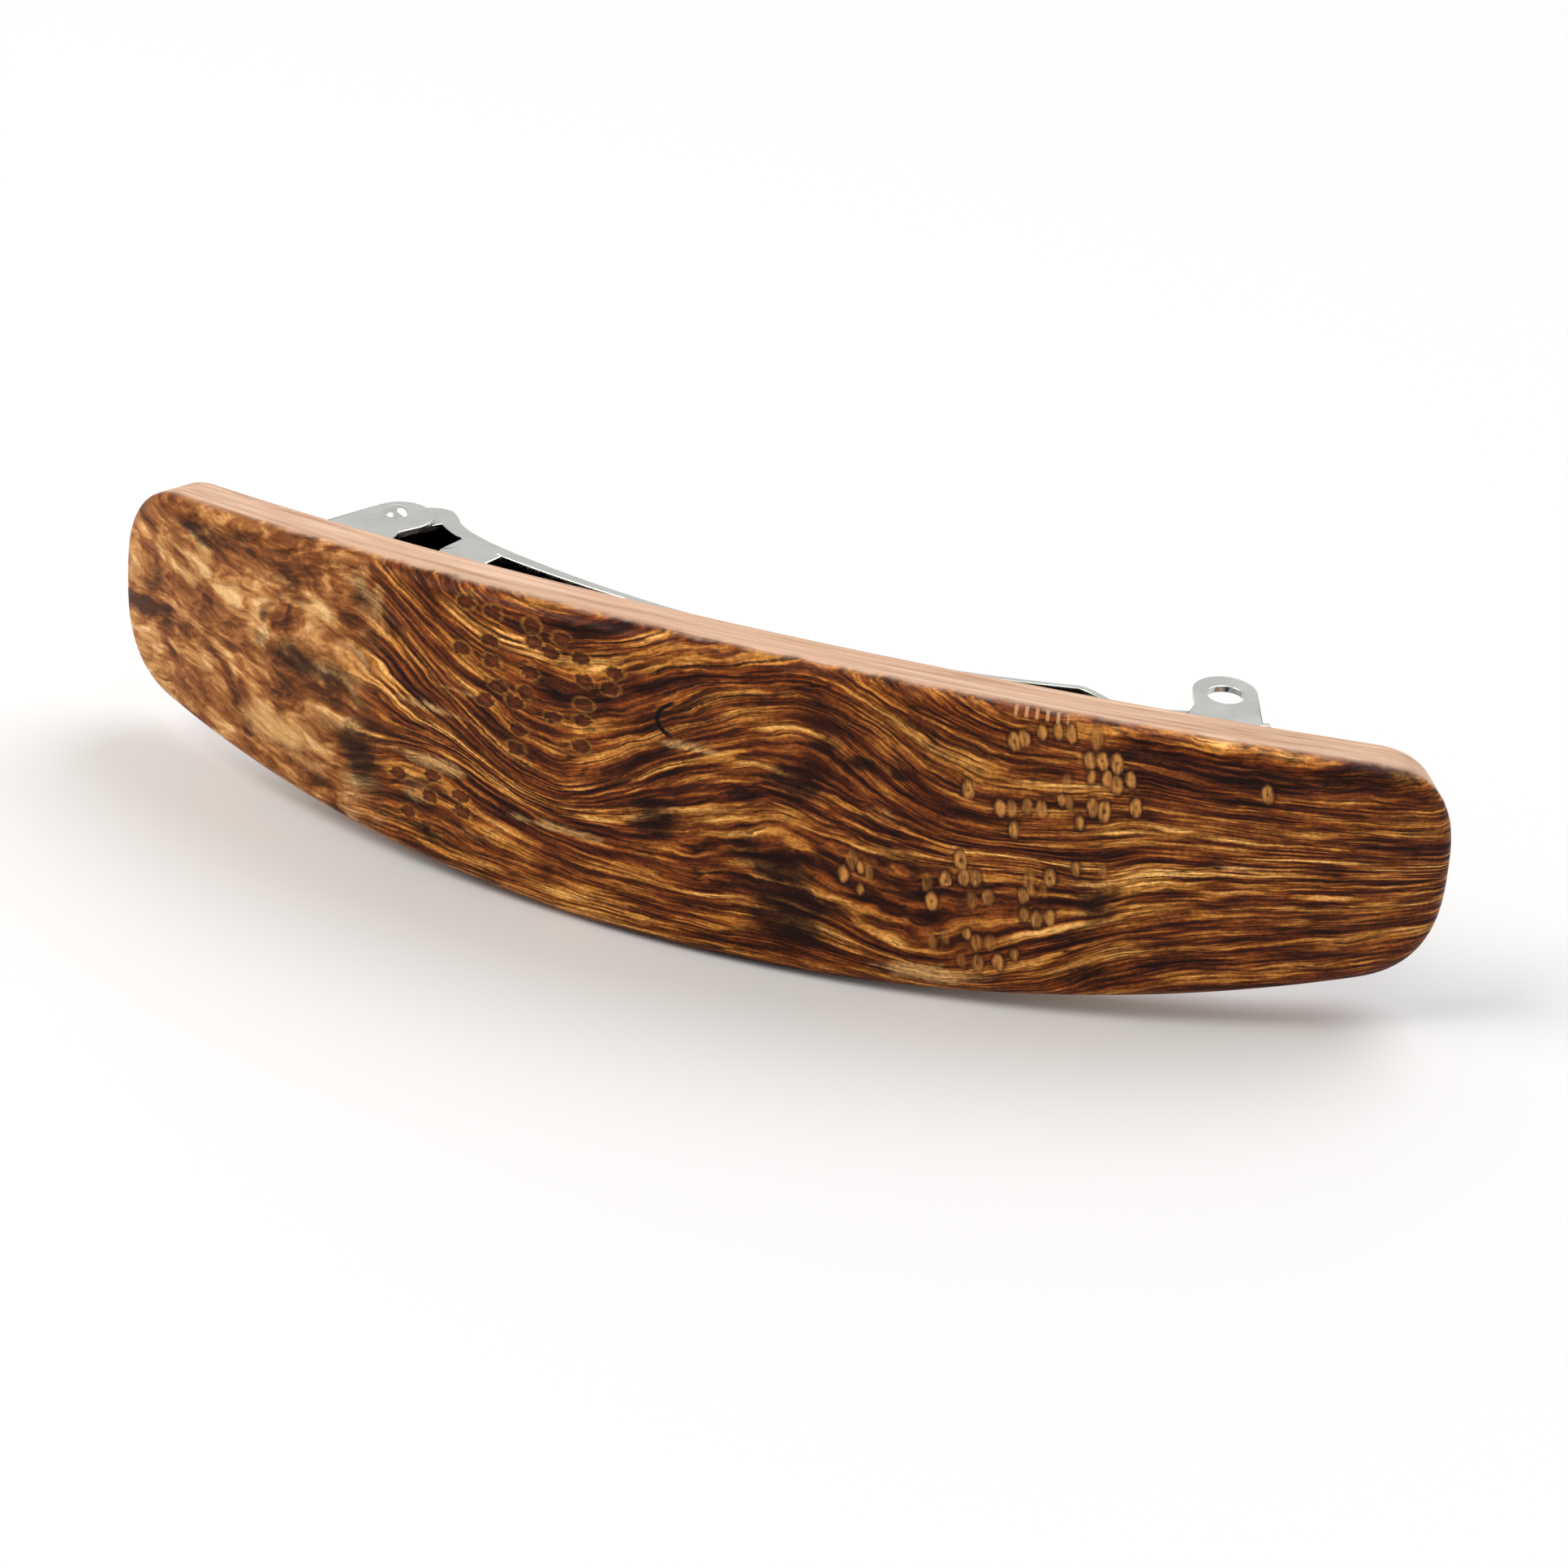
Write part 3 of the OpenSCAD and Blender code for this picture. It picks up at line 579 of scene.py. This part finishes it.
def paintVeins(tree, wood, colour, mottled):
    # thin dark veins along the bands
    veinWidth, veinMost, veinTone = burlLook["vein"]
    veins = grain(tree, wood["line"], (30, veinWidth, 9), 2.5, 0.55)
    ridge = addNode(tree, "ShaderNodeMath", {"operation": "ABSOLUTE"}, {
        0: addNode(tree, "ShaderNodeMath", {"operation": "SUBTRACT"}, {0: veins, 1: 0.5})
    })
    weight = addNode(tree, "ShaderNodeMapRange", eased, {
        "Value": wood["cloud"], "From Min": 0.4, "From Max": 0.6, "To Min": 0.2, "To Max": 1.0
    })
    vein = addNode(tree, "ShaderNodeMapRange", eased, {
        "Value": ridge, "From Min": 0.0, "From Max": 0.016, "To Min": veinMost, "To Max": 0.0
    })
    vein = addNode(tree, "ShaderNodeMath", {"operation": "MULTIPLY"}, {0: vein, 1: weight})
    unmottled = addNode(tree, "ShaderNodeMath", {"operation": "MULTIPLY_ADD"}, {0: mottled, 1: -0.75, 2: 1.0})
    vein = addNode(tree, "ShaderNodeMath", {"operation": "MULTIPLY"}, {0: vein, 1: unmottled})
    return addNode(tree, "ShaderNodeMix", inColour, {"Factor": vein, "A": colour, "B": linear(veinTone)}, 2)


def paintBoldLines(tree, wood, colour):
    # a few bold dark lines, each at its own rest height and along its own stretch of the bar
    track = addNode(tree, "ShaderNodeSeparateXYZ", {}, {0: wood["line"]}, None)
    for lineHeight, middle, reach, thick in burlLook["boldLines"]:
        off = addNode(tree, "ShaderNodeMath", {"operation": "ABSOLUTE"}, {
            0: addNode(tree, "ShaderNodeMath", {"operation": "SUBTRACT"}, {
                0: track.outputs[1], 1: lineHeight
            }),
        })
        along = addNode(tree, "ShaderNodeMath", {"operation": "ABSOLUTE"}, {
            0: addNode(tree, "ShaderNodeMath", {"operation": "SUBTRACT"}, {0: track.outputs[0], 1: middle})
        })
        off = addNode(tree, "ShaderNodeMath", {"operation": "SUBTRACT"}, {0: off, 1: 0.06})
        off = addNode(tree, "ShaderNodeMath", {"operation": "MULTIPLY_ADD"}, {
            0: wood["specks"], 1: 0.12, 2: off
        })
        drawn = addNode(tree, "ShaderNodeMapRange", eased, {
            "Value": off, "From Min": 0.3 * thick, "From Max": thick, "To Min": 0.85, "To Max": 0.0
        })
        fading = addNode(tree, "ShaderNodeMapRange", eased, {
            "Value": along, "From Min": reach * 0.7, "From Max": reach, "To Min": 1.0, "To Max": 0.0
        })
        colour = addNode(tree, "ShaderNodeMix", inColour, {
            "Factor": addNode(tree, "ShaderNodeMath", {"operation": "MULTIPLY"}, {0: drawn, 1: fading}),
            "A": colour,
            "B": linear(burlLook["boldTone"]),
        }, 2)
    return colour


def paintSpots(tree, wood, colour):
    look = burlLook
    # reddish brown bird's-eye spots, each with a thin pale outline
    width, height = look["spot"]
    cells = cellsOf(
        tree,
        addNode(tree, "ShaderNodeVectorMath", {"operation": "ADD"}, {0: wood["place"], 1: wood["wobble"]}),
        width,
        height,
        0.75,
    )
    chance = addNode(tree, "ShaderNodeSeparateXYZ", {}, {0: cells.outputs["Color"]}, None)
    heart = addNode(tree, "ShaderNodeVectorMath", {"operation": "MULTIPLY"}, {
        0: cells.outputs["Position"], 1: (width, height, 0)
    })
    kept = addNode(tree, "ShaderNodeMath", {"operation": "GREATER_THAN"}, {0: chance.outputs[0], 1: 0.3})
    chosen = addNode(tree, "ShaderNodeMath", {"operation": "MULTIPLY"}, {
        0: inside(tree, heart, look["spotGroups"]), 1: kept
    })
    ring = addNode(tree, "ShaderNodeMath", {"operation": "MULTIPLY_ADD"}, {
        0: wood["specks"], 1: 0.3, 2: cells.outputs["Distance"]
    })
    for low, high, tone, most in look["spotRings"]:
        filled = addNode(tree, "ShaderNodeMapRange", eased, {
            "Value": ring, "From Min": low, "From Max": high, "To Min": most, "To Max": 0.0
        })
        colour = addNode(tree, "ShaderNodeMix", inColour, {
            "Factor": addNode(tree, "ShaderNodeMath", {"operation": "MULTIPLY"}, {0: filled, 1: chosen}),
            "A": colour,
            "B": linear(tone),
        }, 2)
    return colour


def paintCrack(tree, wood, colour):
    look = burlLook
    # one short curved crack, open to the left of its middle
    crackS, crackZ, crackRadius = look["crack"]
    crooked = addNode(tree, "ShaderNodeVectorMath", {"operation": "MULTIPLY"}, {
        0: wood["curls"][1], 1: (0.3, 0.3, 0)
    })
    away = addNode(tree, "ShaderNodeVectorMath", {"operation": "SUBTRACT"}, {
        0: addNode(tree, "ShaderNodeVectorMath", {"operation": "ADD"}, {0: wood["place"], 1: crooked}),
        1: (crackS, crackZ, 0),
    })
    away = addNode(tree, "ShaderNodeVectorMath", {"operation": "MULTIPLY"}, {0: away, 1: (1, 1, 0)})
    gap = addNode(tree, "ShaderNodeVectorMath", {"operation": "LENGTH"}, {0: away}, "Value")
    side = addNode(tree, "ShaderNodeSeparateXYZ", {}, {0: away}, None)
    off = addNode(tree, "ShaderNodeMath", {"operation": "ABSOLUTE"}, {
        0: addNode(tree, "ShaderNodeMath", {"operation": "SUBTRACT"}, {0: gap, 1: crackRadius})
    })
    split = addNode(tree, "ShaderNodeMapRange", eased, {
        "Value": off, "From Min": 0.1, "From Max": 0.26, "To Min": 1.0, "To Max": 0.0
    })
    leftHalf = addNode(tree, "ShaderNodeMapRange", eased, {
        "Value": side.outputs[0], "From Min": -0.6, "From Max": 0.1, "To Min": 1.0, "To Max": 0.0
    })
    return addNode(tree, "ShaderNodeMix", inColour, {
        "Factor": addNode(tree, "ShaderNodeMath", {"operation": "MULTIPLY"}, {0: split, 1: leftHalf}),
        "A": colour,
        "B": linear(look["crackTone"]),
    }, 2)


def shadeFibres(tree, wood, colour, mottled):
    # fine streaks, pores and specks, as a brightness that multiplies the colour
    streak = addNode(tree, "ShaderNodeMapRange", eased, {
        "Value": wood["fibres"], "From Min": 0.36, "From Max": 0.64, "To Min": 0.6, "To Max": 1.34
    })
    poreMask = addNode(tree, "ShaderNodeMapRange", eased, {
        "Value": wood["pores"], "From Min": 0.58, "From Max": 0.68, "To Min": 1.0, "To Max": 0.4
    })
    speckle = addNode(tree, "ShaderNodeMapRange", eased, {
        "Value": wood["specks"], "From Min": 0.3, "From Max": 0.7, "To Min": 0.72, "To Max": 1.26
    })
    calm = addNode(tree, "ShaderNodeMath", {"operation": "MULTIPLY"}, {0: mottled, 1: 0.62})
    shade = addNode(tree, "ShaderNodeMath", {"operation": "MULTIPLY"}, {0: streak, 1: poreMask})
    shade = addNode(tree, "ShaderNodeMath", {"operation": "MULTIPLY"}, {0: shade, 1: speckle})
    lively = addNode(tree, "ShaderNodeMath", {"operation": "SUBTRACT"}, {0: 1.0, 1: calm})
    shade = addNode(tree, "ShaderNodeMath", {"operation": "ADD"}, {
        0: addNode(tree, "ShaderNodeMath", {"operation": "MULTIPLY"}, {0: shade, 1: lively}), 1: calm
    })
    colour = addNode(tree, "ShaderNodeVectorMath", {"operation": "SCALE"}, {0: colour, "Scale": shade})
    return colour, poreMask


def paintEyes(tree, wood, colour):
    look = burlLook
    # eyes: small pale ovals with a dark slit and a dark rim, in groups
    width, height = look["eye"]
    tilt = math.radians(look["lean"])
    wavy = addNode(tree, "ShaderNodeVectorMath", {"operation": "ADD"}, {0: wood["place"], 1: wood["wobble"]})
    lean = addNode(tree, "ShaderNodeMapping", {}, {"Vector": wavy, "Rotation": (0, 0, tilt)})
    eyes = cellsOf(tree, lean, width, height, 0.7)
    heart = addNode(tree, "ShaderNodeVectorMath", {"operation": "MULTIPLY"}, {
        0: eyes.outputs["Position"], 1: (width, height, 0)
    })
    heart = addNode(tree, "ShaderNodeMapping", {}, {"Vector": heart, "Rotation": (0, 0, -tilt)})
    kind = addNode(tree, "ShaderNodeSeparateXYZ", {}, {0: eyes.outputs["Color"]}, None)
    onFace = addNode(tree, "ShaderNodeMapRange", eased, {
        "Value": wood["depth"], "From Min": 0.5, "From Max": 1.1, "To Min": 1.0, "To Max": 0.0
    })
    member = addNode(tree, "ShaderNodeMath", {"operation": "MULTIPLY"}, {
        0: inside(tree, heart, look["eyeGroups"]), 1: onFace
    })
    clearness = addNode(tree, "ShaderNodeMapRange", eased, {
        "Value": kind.outputs[0], "From Min": 0.05, "From Max": 0.45, "To Min": 0.35, "To Max": 1.0
    })
    member = addNode(tree, "ShaderNodeMath", {"operation": "MULTIPLY"}, {0: member, 1: clearness})
    nibbled = addNode(tree, "ShaderNodeMath", {"operation": "SUBTRACT"}, {0: wood["specks"], 1: 0.5})
    reach = addNode(tree, "ShaderNodeMath", {"operation": "MULTIPLY_ADD"}, {
        0: nibbled, 1: 0.2, 2: eyes.outputs["Distance"]
    })
    reach = addNode(tree, "ShaderNodeMath", {"operation": "MULTIPLY_ADD"}, {
        0: kind.outputs[1], 1: 0.2, 2: reach
    })
    fleck = grain(tree, lean, (0.26, 1.5, 1), 2.0, 0.6)
    fleck = addNode(tree, "ShaderNodeMapRange", eased, {
        "Value": fleck, "From Min": 0.36, "From Max": 0.62, "To Min": 0.5, "To Max": 1.2
    })
    for low, high, tone, most in look["eyeRings"]:
        filled = addNode(tree, "ShaderNodeMapRange", eased, {
            "Value": reach, "From Min": low, "From Max": high, "To Min": most, "To Max": 0.0
        })
        factor = addNode(tree, "ShaderNodeMath", {"operation": "MULTIPLY"}, {0: filled, 1: member})
        ringTone = linear(tone)[:3]
        toned = addNode(tree, "ShaderNodeVectorMath", {"operation": "SCALE"}, {0: ringTone, "Scale": fleck})
        colour = addNode(tree, "ShaderNodeMix", inColour, {"Factor": factor, "A": colour, "B": toned}, 2)
    return colour


def combMask(tree, wood):
    # a row of short pale bars across the rounded edge over the eyes
    combMiddle, combHalf, combSpacing = burlLook["comb"]
    combTurn = addNode(tree, "ShaderNodeMath", {"operation": "MULTIPLY"}, {
        0: wood["along"], 1: 2 * math.pi / combSpacing
    })
    bars = addNode(tree, "ShaderNodeMapRange", eased, {
        "Value": addNode(tree, "ShaderNodeMath", {"operation": "COSINE"}, {0: combTurn}),
        "From Min": 0.2,
        "From Max": 0.8,
        "To Min": 0.0,
        "To Max": 0.7,
    })
    fromMiddle = addNode(tree, "ShaderNodeMath", {"operation": "ABSOLUTE"}, {
        0: addNode(tree, "ShaderNodeMath", {"operation": "SUBTRACT"}, {0: wood["along"], 1: combMiddle})
    })
    rowEnds = addNode(tree, "ShaderNodeMapRange", eased, {
        "Value": fromMiddle, "From Min": combHalf - 0.3, "From Max": combHalf, "To Min": 1.0, "To Max": 0.0
    })
    bars = addNode(tree, "ShaderNodeMath", {"operation": "MULTIPLY"}, {0: bars, 1: rowEnds})
    combTop = addNode(tree, "ShaderNodeMapRange", eased, {
        "Value": wood["depth"], "From Min": 0.3, "From Max": 0.5, "To Min": 0.0, "To Max": 1.0
    })
    combFoot = addNode(tree, "ShaderNodeMapRange", eased, {
        "Value": wood["depth"], "From Min": 1.1, "From Max": 1.4, "To Min": 1.0, "To Max": 0.0
    })
    band = addNode(tree, "ShaderNodeMath", {"operation": "MULTIPLY"}, {0: combTop, 1: combFoot})
    upperEdge = addNode(tree, "ShaderNodeMapRange", eased, {
        "Value": wood["up"], "From Min": 6.0, "From Max": 8.0, "To Min": 0.0, "To Max": 0.9
    })
    band = addNode(tree, "ShaderNodeMath", {"operation": "MULTIPLY"}, {0: band, 1: upperEdge})
    return addNode(tree, "ShaderNodeMath", {"operation": "MULTIPLY"}, {0: bars, 1: band})


def paintSides(tree, wood, colour):
    # the sawn sides and back: paler, pinker, with straight fine grain
    sideGrain = grain(tree, wood["place"], (16, 1.4, 0.4), 4.0, 0.6)
    sideRamp = addNode(tree, "ShaderNodeValToRGB", {}, {"Fac": sideGrain}, None)
    fillRamp(sideRamp, burlLook["sideTones"])
    cutDepth = addNode(tree, "ShaderNodeMath", {"operation": "MULTIPLY_ADD"}, {
        0: wood["ragged"], 1: 1.2, 2: wood["depth"]
    })
    sawn = addNode(tree, "ShaderNodeMapRange", eased, {
        "Value": cutDepth, "From Min": 1.5, "From Max": 2.6, "To Min": 0.0, "To Max": 1.0
    })
    return addNode(tree, "ShaderNodeMix", inColour, {
        "Factor": sawn, "A": colour, "B": sideRamp.outputs[0]
    }, 2)


def burlWood():
    # Figured burl, sanded fine and oiled: flowing gold and brown bands, dark knots, small eyes, little sheen
    material, tree = newMaterial("oiled_burl_wood")
    wood = grainField(tree)
    patches = addNode(tree, "ShaderNodeAttribute", {"attribute_name": "patches"}, out=1)
    patch = addNode(tree, "ShaderNodeSeparateXYZ", {}, {0: patches}, None)
    dark, pale, mottled = patch.outputs[0], patch.outputs[1], patch.outputs[2]
    colour = groundTone(tree, wood, mottled)
    colour = paintPatches(tree, wood, colour, dark, pale)
    colour = paintVeins(tree, wood, colour, mottled)
    colour = paintBoldLines(tree, wood, colour)
    colour = paintSpots(tree, wood, colour)
    colour = paintCrack(tree, wood, colour)
    colour, poreMask = shadeFibres(tree, wood, colour, mottled)
    colour = paintEyes(tree, wood, colour)
    colour = paintSides(tree, wood, colour)
    colour = addNode(tree, "ShaderNodeMix", inColour, {
        "Factor": combMask(tree, wood), "A": colour, "B": linear(burlLook["combTone"])
    }, 2)
    roughness = addNode(tree, "ShaderNodeMapRange", eased, {
        "Value": wood["fibres"], "From Min": 0.3, "From Max": 0.7, "To Min": 0.52, "To Max": 0.38
    })
    dent = addNode(tree, "ShaderNodeMath", {"operation": "MULTIPLY_ADD"}, {
        0: wood["fibres"], 1: 0.35, 2: poreMask
    })
    depth = burlLook["dent"] * mm
    bump = addNode(tree, "ShaderNodeBump", {}, {"Strength": 0.3, "Distance": depth, "Height": dent})
    finish = {"Base Color": colour, "Roughness": roughness, "Normal": bump, "IOR": burlLook["ior"]}
    oiled = addNode(tree, "ShaderNodeBsdfPrincipled", {}, {**finish, "Specular IOR Level": burlLook["sheen"]})
    addNode(tree, "ShaderNodeOutputMaterial", {}, {"Surface": oiled}, None)
    return material


# "grain" is the size of the cloudy unevenness and "depth" the depth of the scuffs, both in mm
# the last two entries give the reach in mm within which a nearby face darkens the metal with painted shade,
# and the dark tone of that painted shade
metalLooks = {
    "nickel_plated_steel": {
        "tones": ("#eceeea", "#f6f7f4"), "rough": (0.16, 0.26), "grain": (3, 3, 3), "depth": 0.006,
        "shadeReach": 7, "shadeTone": "#1c1c1a",
    },
    "bright_steel_rivet": {
        "tones": ("#e8e7e1", "#f4f3ee"), "rough": (0.1, 0.2), "grain": (0.8, 0.8, 0.8), "depth": 0.005,
        "shadeReach": 5, "shadeTone": "#2a2a27",
    },
    "tempered_spring_steel": {
        "tones": ("#b9bab7", "#d6d7d4"), "rough": (0.22, 0.4), "grain": (9, 0.5, 0.25), "depth": 0.01,
        "shadeReach": 7, "shadeTone": "#1c1d1e",
    },
}


scuffSize = 1 / 2.6  # mm between scuffs, far coarser than real ones so that they show


def metal(name):
    # Stamped sheet, barrel polished and plated: bright, a little uneven, with fine scuffs, and painted shade
    # darkening its recesses
    look = metalLooks[name]
    material, tree = newMaterial(name)
    place = addNode(tree, "ShaderNodeTexCoord", {}, {}, "Object")
    perMetre = tuple(1 / (v * mm) for v in look["grain"])
    scaled = addNode(tree, "ShaderNodeVectorMath", {"operation": "MULTIPLY"}, {0: place, 1: perMetre})
    clouds = {"Vector": scaled, "Scale": 1.0, "Detail": 4.0, "Roughness": 0.6}
    cloud = addNode(tree, "ShaderNodeTexNoise", {}, clouds)
    scuffs = {"Vector": place, "Scale": 1 / (scuffSize * mm), "Detail": 3.0, "Roughness": 0.7}
    scuff = addNode(tree, "ShaderNodeTexNoise", {}, scuffs)
    ramp = addNode(tree, "ShaderNodeValToRGB", {}, {"Fac": cloud}, None)
    fillRamp(ramp, [(0.35, look["tones"][0]), (0.65, look["tones"][1])])
    mixed = addNode(tree, "ShaderNodeMath", {"operation": "MULTIPLY_ADD"}, {0: scuff, 1: 0.5, 2: cloud})
    smoothest, roughest = look["rough"]
    ends = {"Value": mixed, "From Min": 0.5, "From Max": 1.0, "To Min": smoothest, "To Max": roughest}
    rough = addNode(tree, "ShaderNodeMapRange", {}, ends)
    # painted shade: ambient occlusion darkens the metal in folds and recesses, where shade falls
    near = {"Distance": look["shadeReach"] * mm}
    paintedShadeAO = addNode(tree, "ShaderNodeAmbientOcclusion", {"samples": 8}, near, "AO")
    ends = {"Value": paintedShadeAO, "From Min": 0.35, "From Max": 0.85}
    unshadedShare = addNode(tree, "ShaderNodeMapRange", {"interpolation_type": "SMOOTHSTEP"}, ends)
    # the dark end of this mix is the painted shade tone
    tones = {"Factor": unshadedShare, "A": linear(look["shadeTone"]), "B": ramp.outputs[0]}
    colour = addNode(tree, "ShaderNodeMix", {"data_type": "RGBA"}, tones, 2)
    depth = look["depth"] * mm
    bump = addNode(tree, "ShaderNodeBump", {}, {"Strength": 0.3, "Distance": depth, "Height": mixed})
    finish = {"Base Color": colour, "Metallic": 1.0, "Roughness": rough, "Normal": bump}
    plated = addNode(tree, "ShaderNodeBsdfPrincipled", {}, finish)
    addNode(tree, "ShaderNodeOutputMaterial", {}, {"Surface": plated}, None)
    return material


adhesiveLook = {
    "tones": [(0.35, "#8a6034"), (0.65, "#b58a55")],
    "wave": 1 / 0.9,  # mm between waves
    "depth": 0.05,  # mm
    "rough": (0.12, 0.3),
    "ior": 1.55,
}


def curedAdhesive():
    # Clear amber epoxy, poured thin and cured: glossy with small waves
    material, tree = newMaterial("cured_amber_epoxy")
    place = addNode(tree, "ShaderNodeTexCoord", {}, {}, "Object")
    waves = {"Vector": place, "Scale": 1 / (adhesiveLook["wave"] * mm), "Detail": 2.0}
    wave = addNode(tree, "ShaderNodeTexNoise", {}, waves)
    ramp = addNode(tree, "ShaderNodeValToRGB", {}, {"Fac": wave}, None)
    fillRamp(ramp, adhesiveLook["tones"])
    smoothest, roughest = adhesiveLook["rough"]
    rough = addNode(tree, "ShaderNodeMapRange", {}, {"Value": wave, "To Min": smoothest, "To Max": roughest})
    depth = adhesiveLook["depth"] * mm
    bump = addNode(tree, "ShaderNodeBump", {}, {"Strength": 0.4, "Distance": depth, "Height": wave})
    finish = {"Base Color": ramp.outputs[0], "Roughness": rough, "Normal": bump, "IOR": adhesiveLook["ior"]}
    cured = addNode(tree, "ShaderNodeBsdfPrincipled", {}, finish)
    addNode(tree, "ShaderNodeOutputMaterial", {}, {"Surface": cured}, None)
    return material


clipEdges = {
    # edge rounding of each metal piece in mm, and the sharpest edge that stays, in degrees
    "base_plate": 0.06,
    "clasp_arm": 0.07,
    "tension_bar": 0.05,
    "sharp": 32,
    "segments": 3,
    "weld": 2e-7,  # m, how close the corners of the loose triangles are merged
}


def softened(node, body, material):
    # a merged copy of a clip piece with rounded edges, in place of the piece itself
    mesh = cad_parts[node].data.copy()
    mesh.name = node + "_soft"
    work = bmesh.new()
    work.from_mesh(mesh)
    bmesh.ops.remove_doubles(work, verts=work.verts, dist=clipEdges["weld"])
    work.to_mesh(mesh)
    work.free()
    made = bpy.data.objects.new(node + "_soft", mesh)
    scene.collection.objects.link(made)
    mesh.materials.clear()
    mesh.materials.append(material)
    mesh.shade_smooth()
    mesh.set_sharp_from_angle(angle=math.radians(clipEdges["sharp"]))
    bevel = made.modifiers.new("roundEdges", "BEVEL")
    bevel.width = clipEdges[node] * mm
    bevel.segments = clipEdges["segments"]
    bevel.limit_method = "ANGLE"
    bevel.angle_limit = math.radians(clipEdges["sharp"])
    bevel.use_clamp_overlap = False
    weighted = made.modifiers.new("flatFaces", "WEIGHTED_NORMAL")
    weighted.keep_sharp = True
    piece = plainMesh(made, node + "_rounded")
    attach(piece, body)
    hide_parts(node)
    return piece


roomLook = {
    "floorTone": "#e3e3e4",
    "floorSize": 4.0,  # m
    "floorTooth": 1 / 1.5,  # mm between the bumps of the laminate
    "floorIor": 1.45,
    "skyTone": "#f8f7f4",
    "skyStrength": 0.62,
    # place in m, size in m, power in W and tone of each soft light
    "lamps": {
        "window": ((-0.5, -0.35, 0.75), 0.55, 5.4, "#fffaf2"),
        "ceiling": ((0.25, 0.5, 0.9), 0.8, 5.6, "#f6f9ff"),
    },
}


def makeRoom():
    # a plain pale table top and soft window light
    mesh = bpy.data.meshes.new("table_top")
    half = roomLook["floorSize"] / 2
    corners = [(-half, -half, 0), (half, -half, 0), (half, half, 0), (-half, half, 0)]
    mesh.from_pydata(corners, [], [(0, 1, 2, 3)])
    table = bpy.data.objects.new("table_top", mesh)
    scene.collection.objects.link(table)
    material, tree = newMaterial("matt_pale_laminate")
    place = addNode(tree, "ShaderNodeTexCoord", {}, {}, "Object")
    teeth = {"Vector": place, "Scale": 1 / (roomLook["floorTooth"] * mm), "Detail": 2.0}
    tooth = addNode(tree, "ShaderNodeTexNoise", {}, teeth)
    rough = addNode(tree, "ShaderNodeMapRange", {}, {"Value": tooth, "To Min": 0.5, "To Max": 0.62})
    finish = {"Base Color": linear(roomLook["floorTone"]), "Roughness": rough, "IOR": roomLook["floorIor"]}
    laminate = addNode(tree, "ShaderNodeBsdfPrincipled", {}, finish)
    addNode(tree, "ShaderNodeOutputMaterial", {}, {"Surface": laminate}, None)
    mesh.materials.append(material)
    world = bpy.data.worlds.new("soft_sky")
    scene.world = world
    world.use_nodes = True
    background = world.node_tree.nodes["Background"]
    background.inputs[0].default_value = linear(roomLook["skyTone"])
    background.inputs[1].default_value = roomLook["skyStrength"]
    for name, (lampPlace, size, power, tone) in roomLook["lamps"].items():
        lamp = bpy.data.lights.new(name, "AREA")
        lamp.shape = "DISK"
        lamp.size = size
        lamp.energy = power
        lamp.color = linear(tone)[:3]
        light = bpy.data.objects.new(name, lamp)
        scene.collection.objects.link(light)
        light.location = lampPlace
        light.rotation_mode = "QUATERNION"
        light.rotation_quaternion = (-Vector(lampPlace)).to_track_quat("-Z", "Y")
    scene.view_settings.view_transform = "Standard"


barLow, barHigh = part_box("wood_bar")
apex = Vector((0, barLow.y + barForm["crown"] * mm, (barLow.z + barHigh.z) / 2))
makeCamera(apex)
makeRoom()
print("camera, table and lights placed")

makeBar(burlWood(), apex)
print("burl bar bent and finished")

nickel = metal("nickel_plated_steel")
softened("base_plate", "bar", nickel)
softened("clasp_arm", "arm", nickel)
softened("tension_bar", "tension", metal("tempered_spring_steel"))
for node, finish in (("hinge_pin", metal("bright_steel_rivet")), ("glue_bed", curedAdhesive())):
    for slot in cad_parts[node].material_slots:
        slot.material = finish
print("clip pieces rounded and plated")
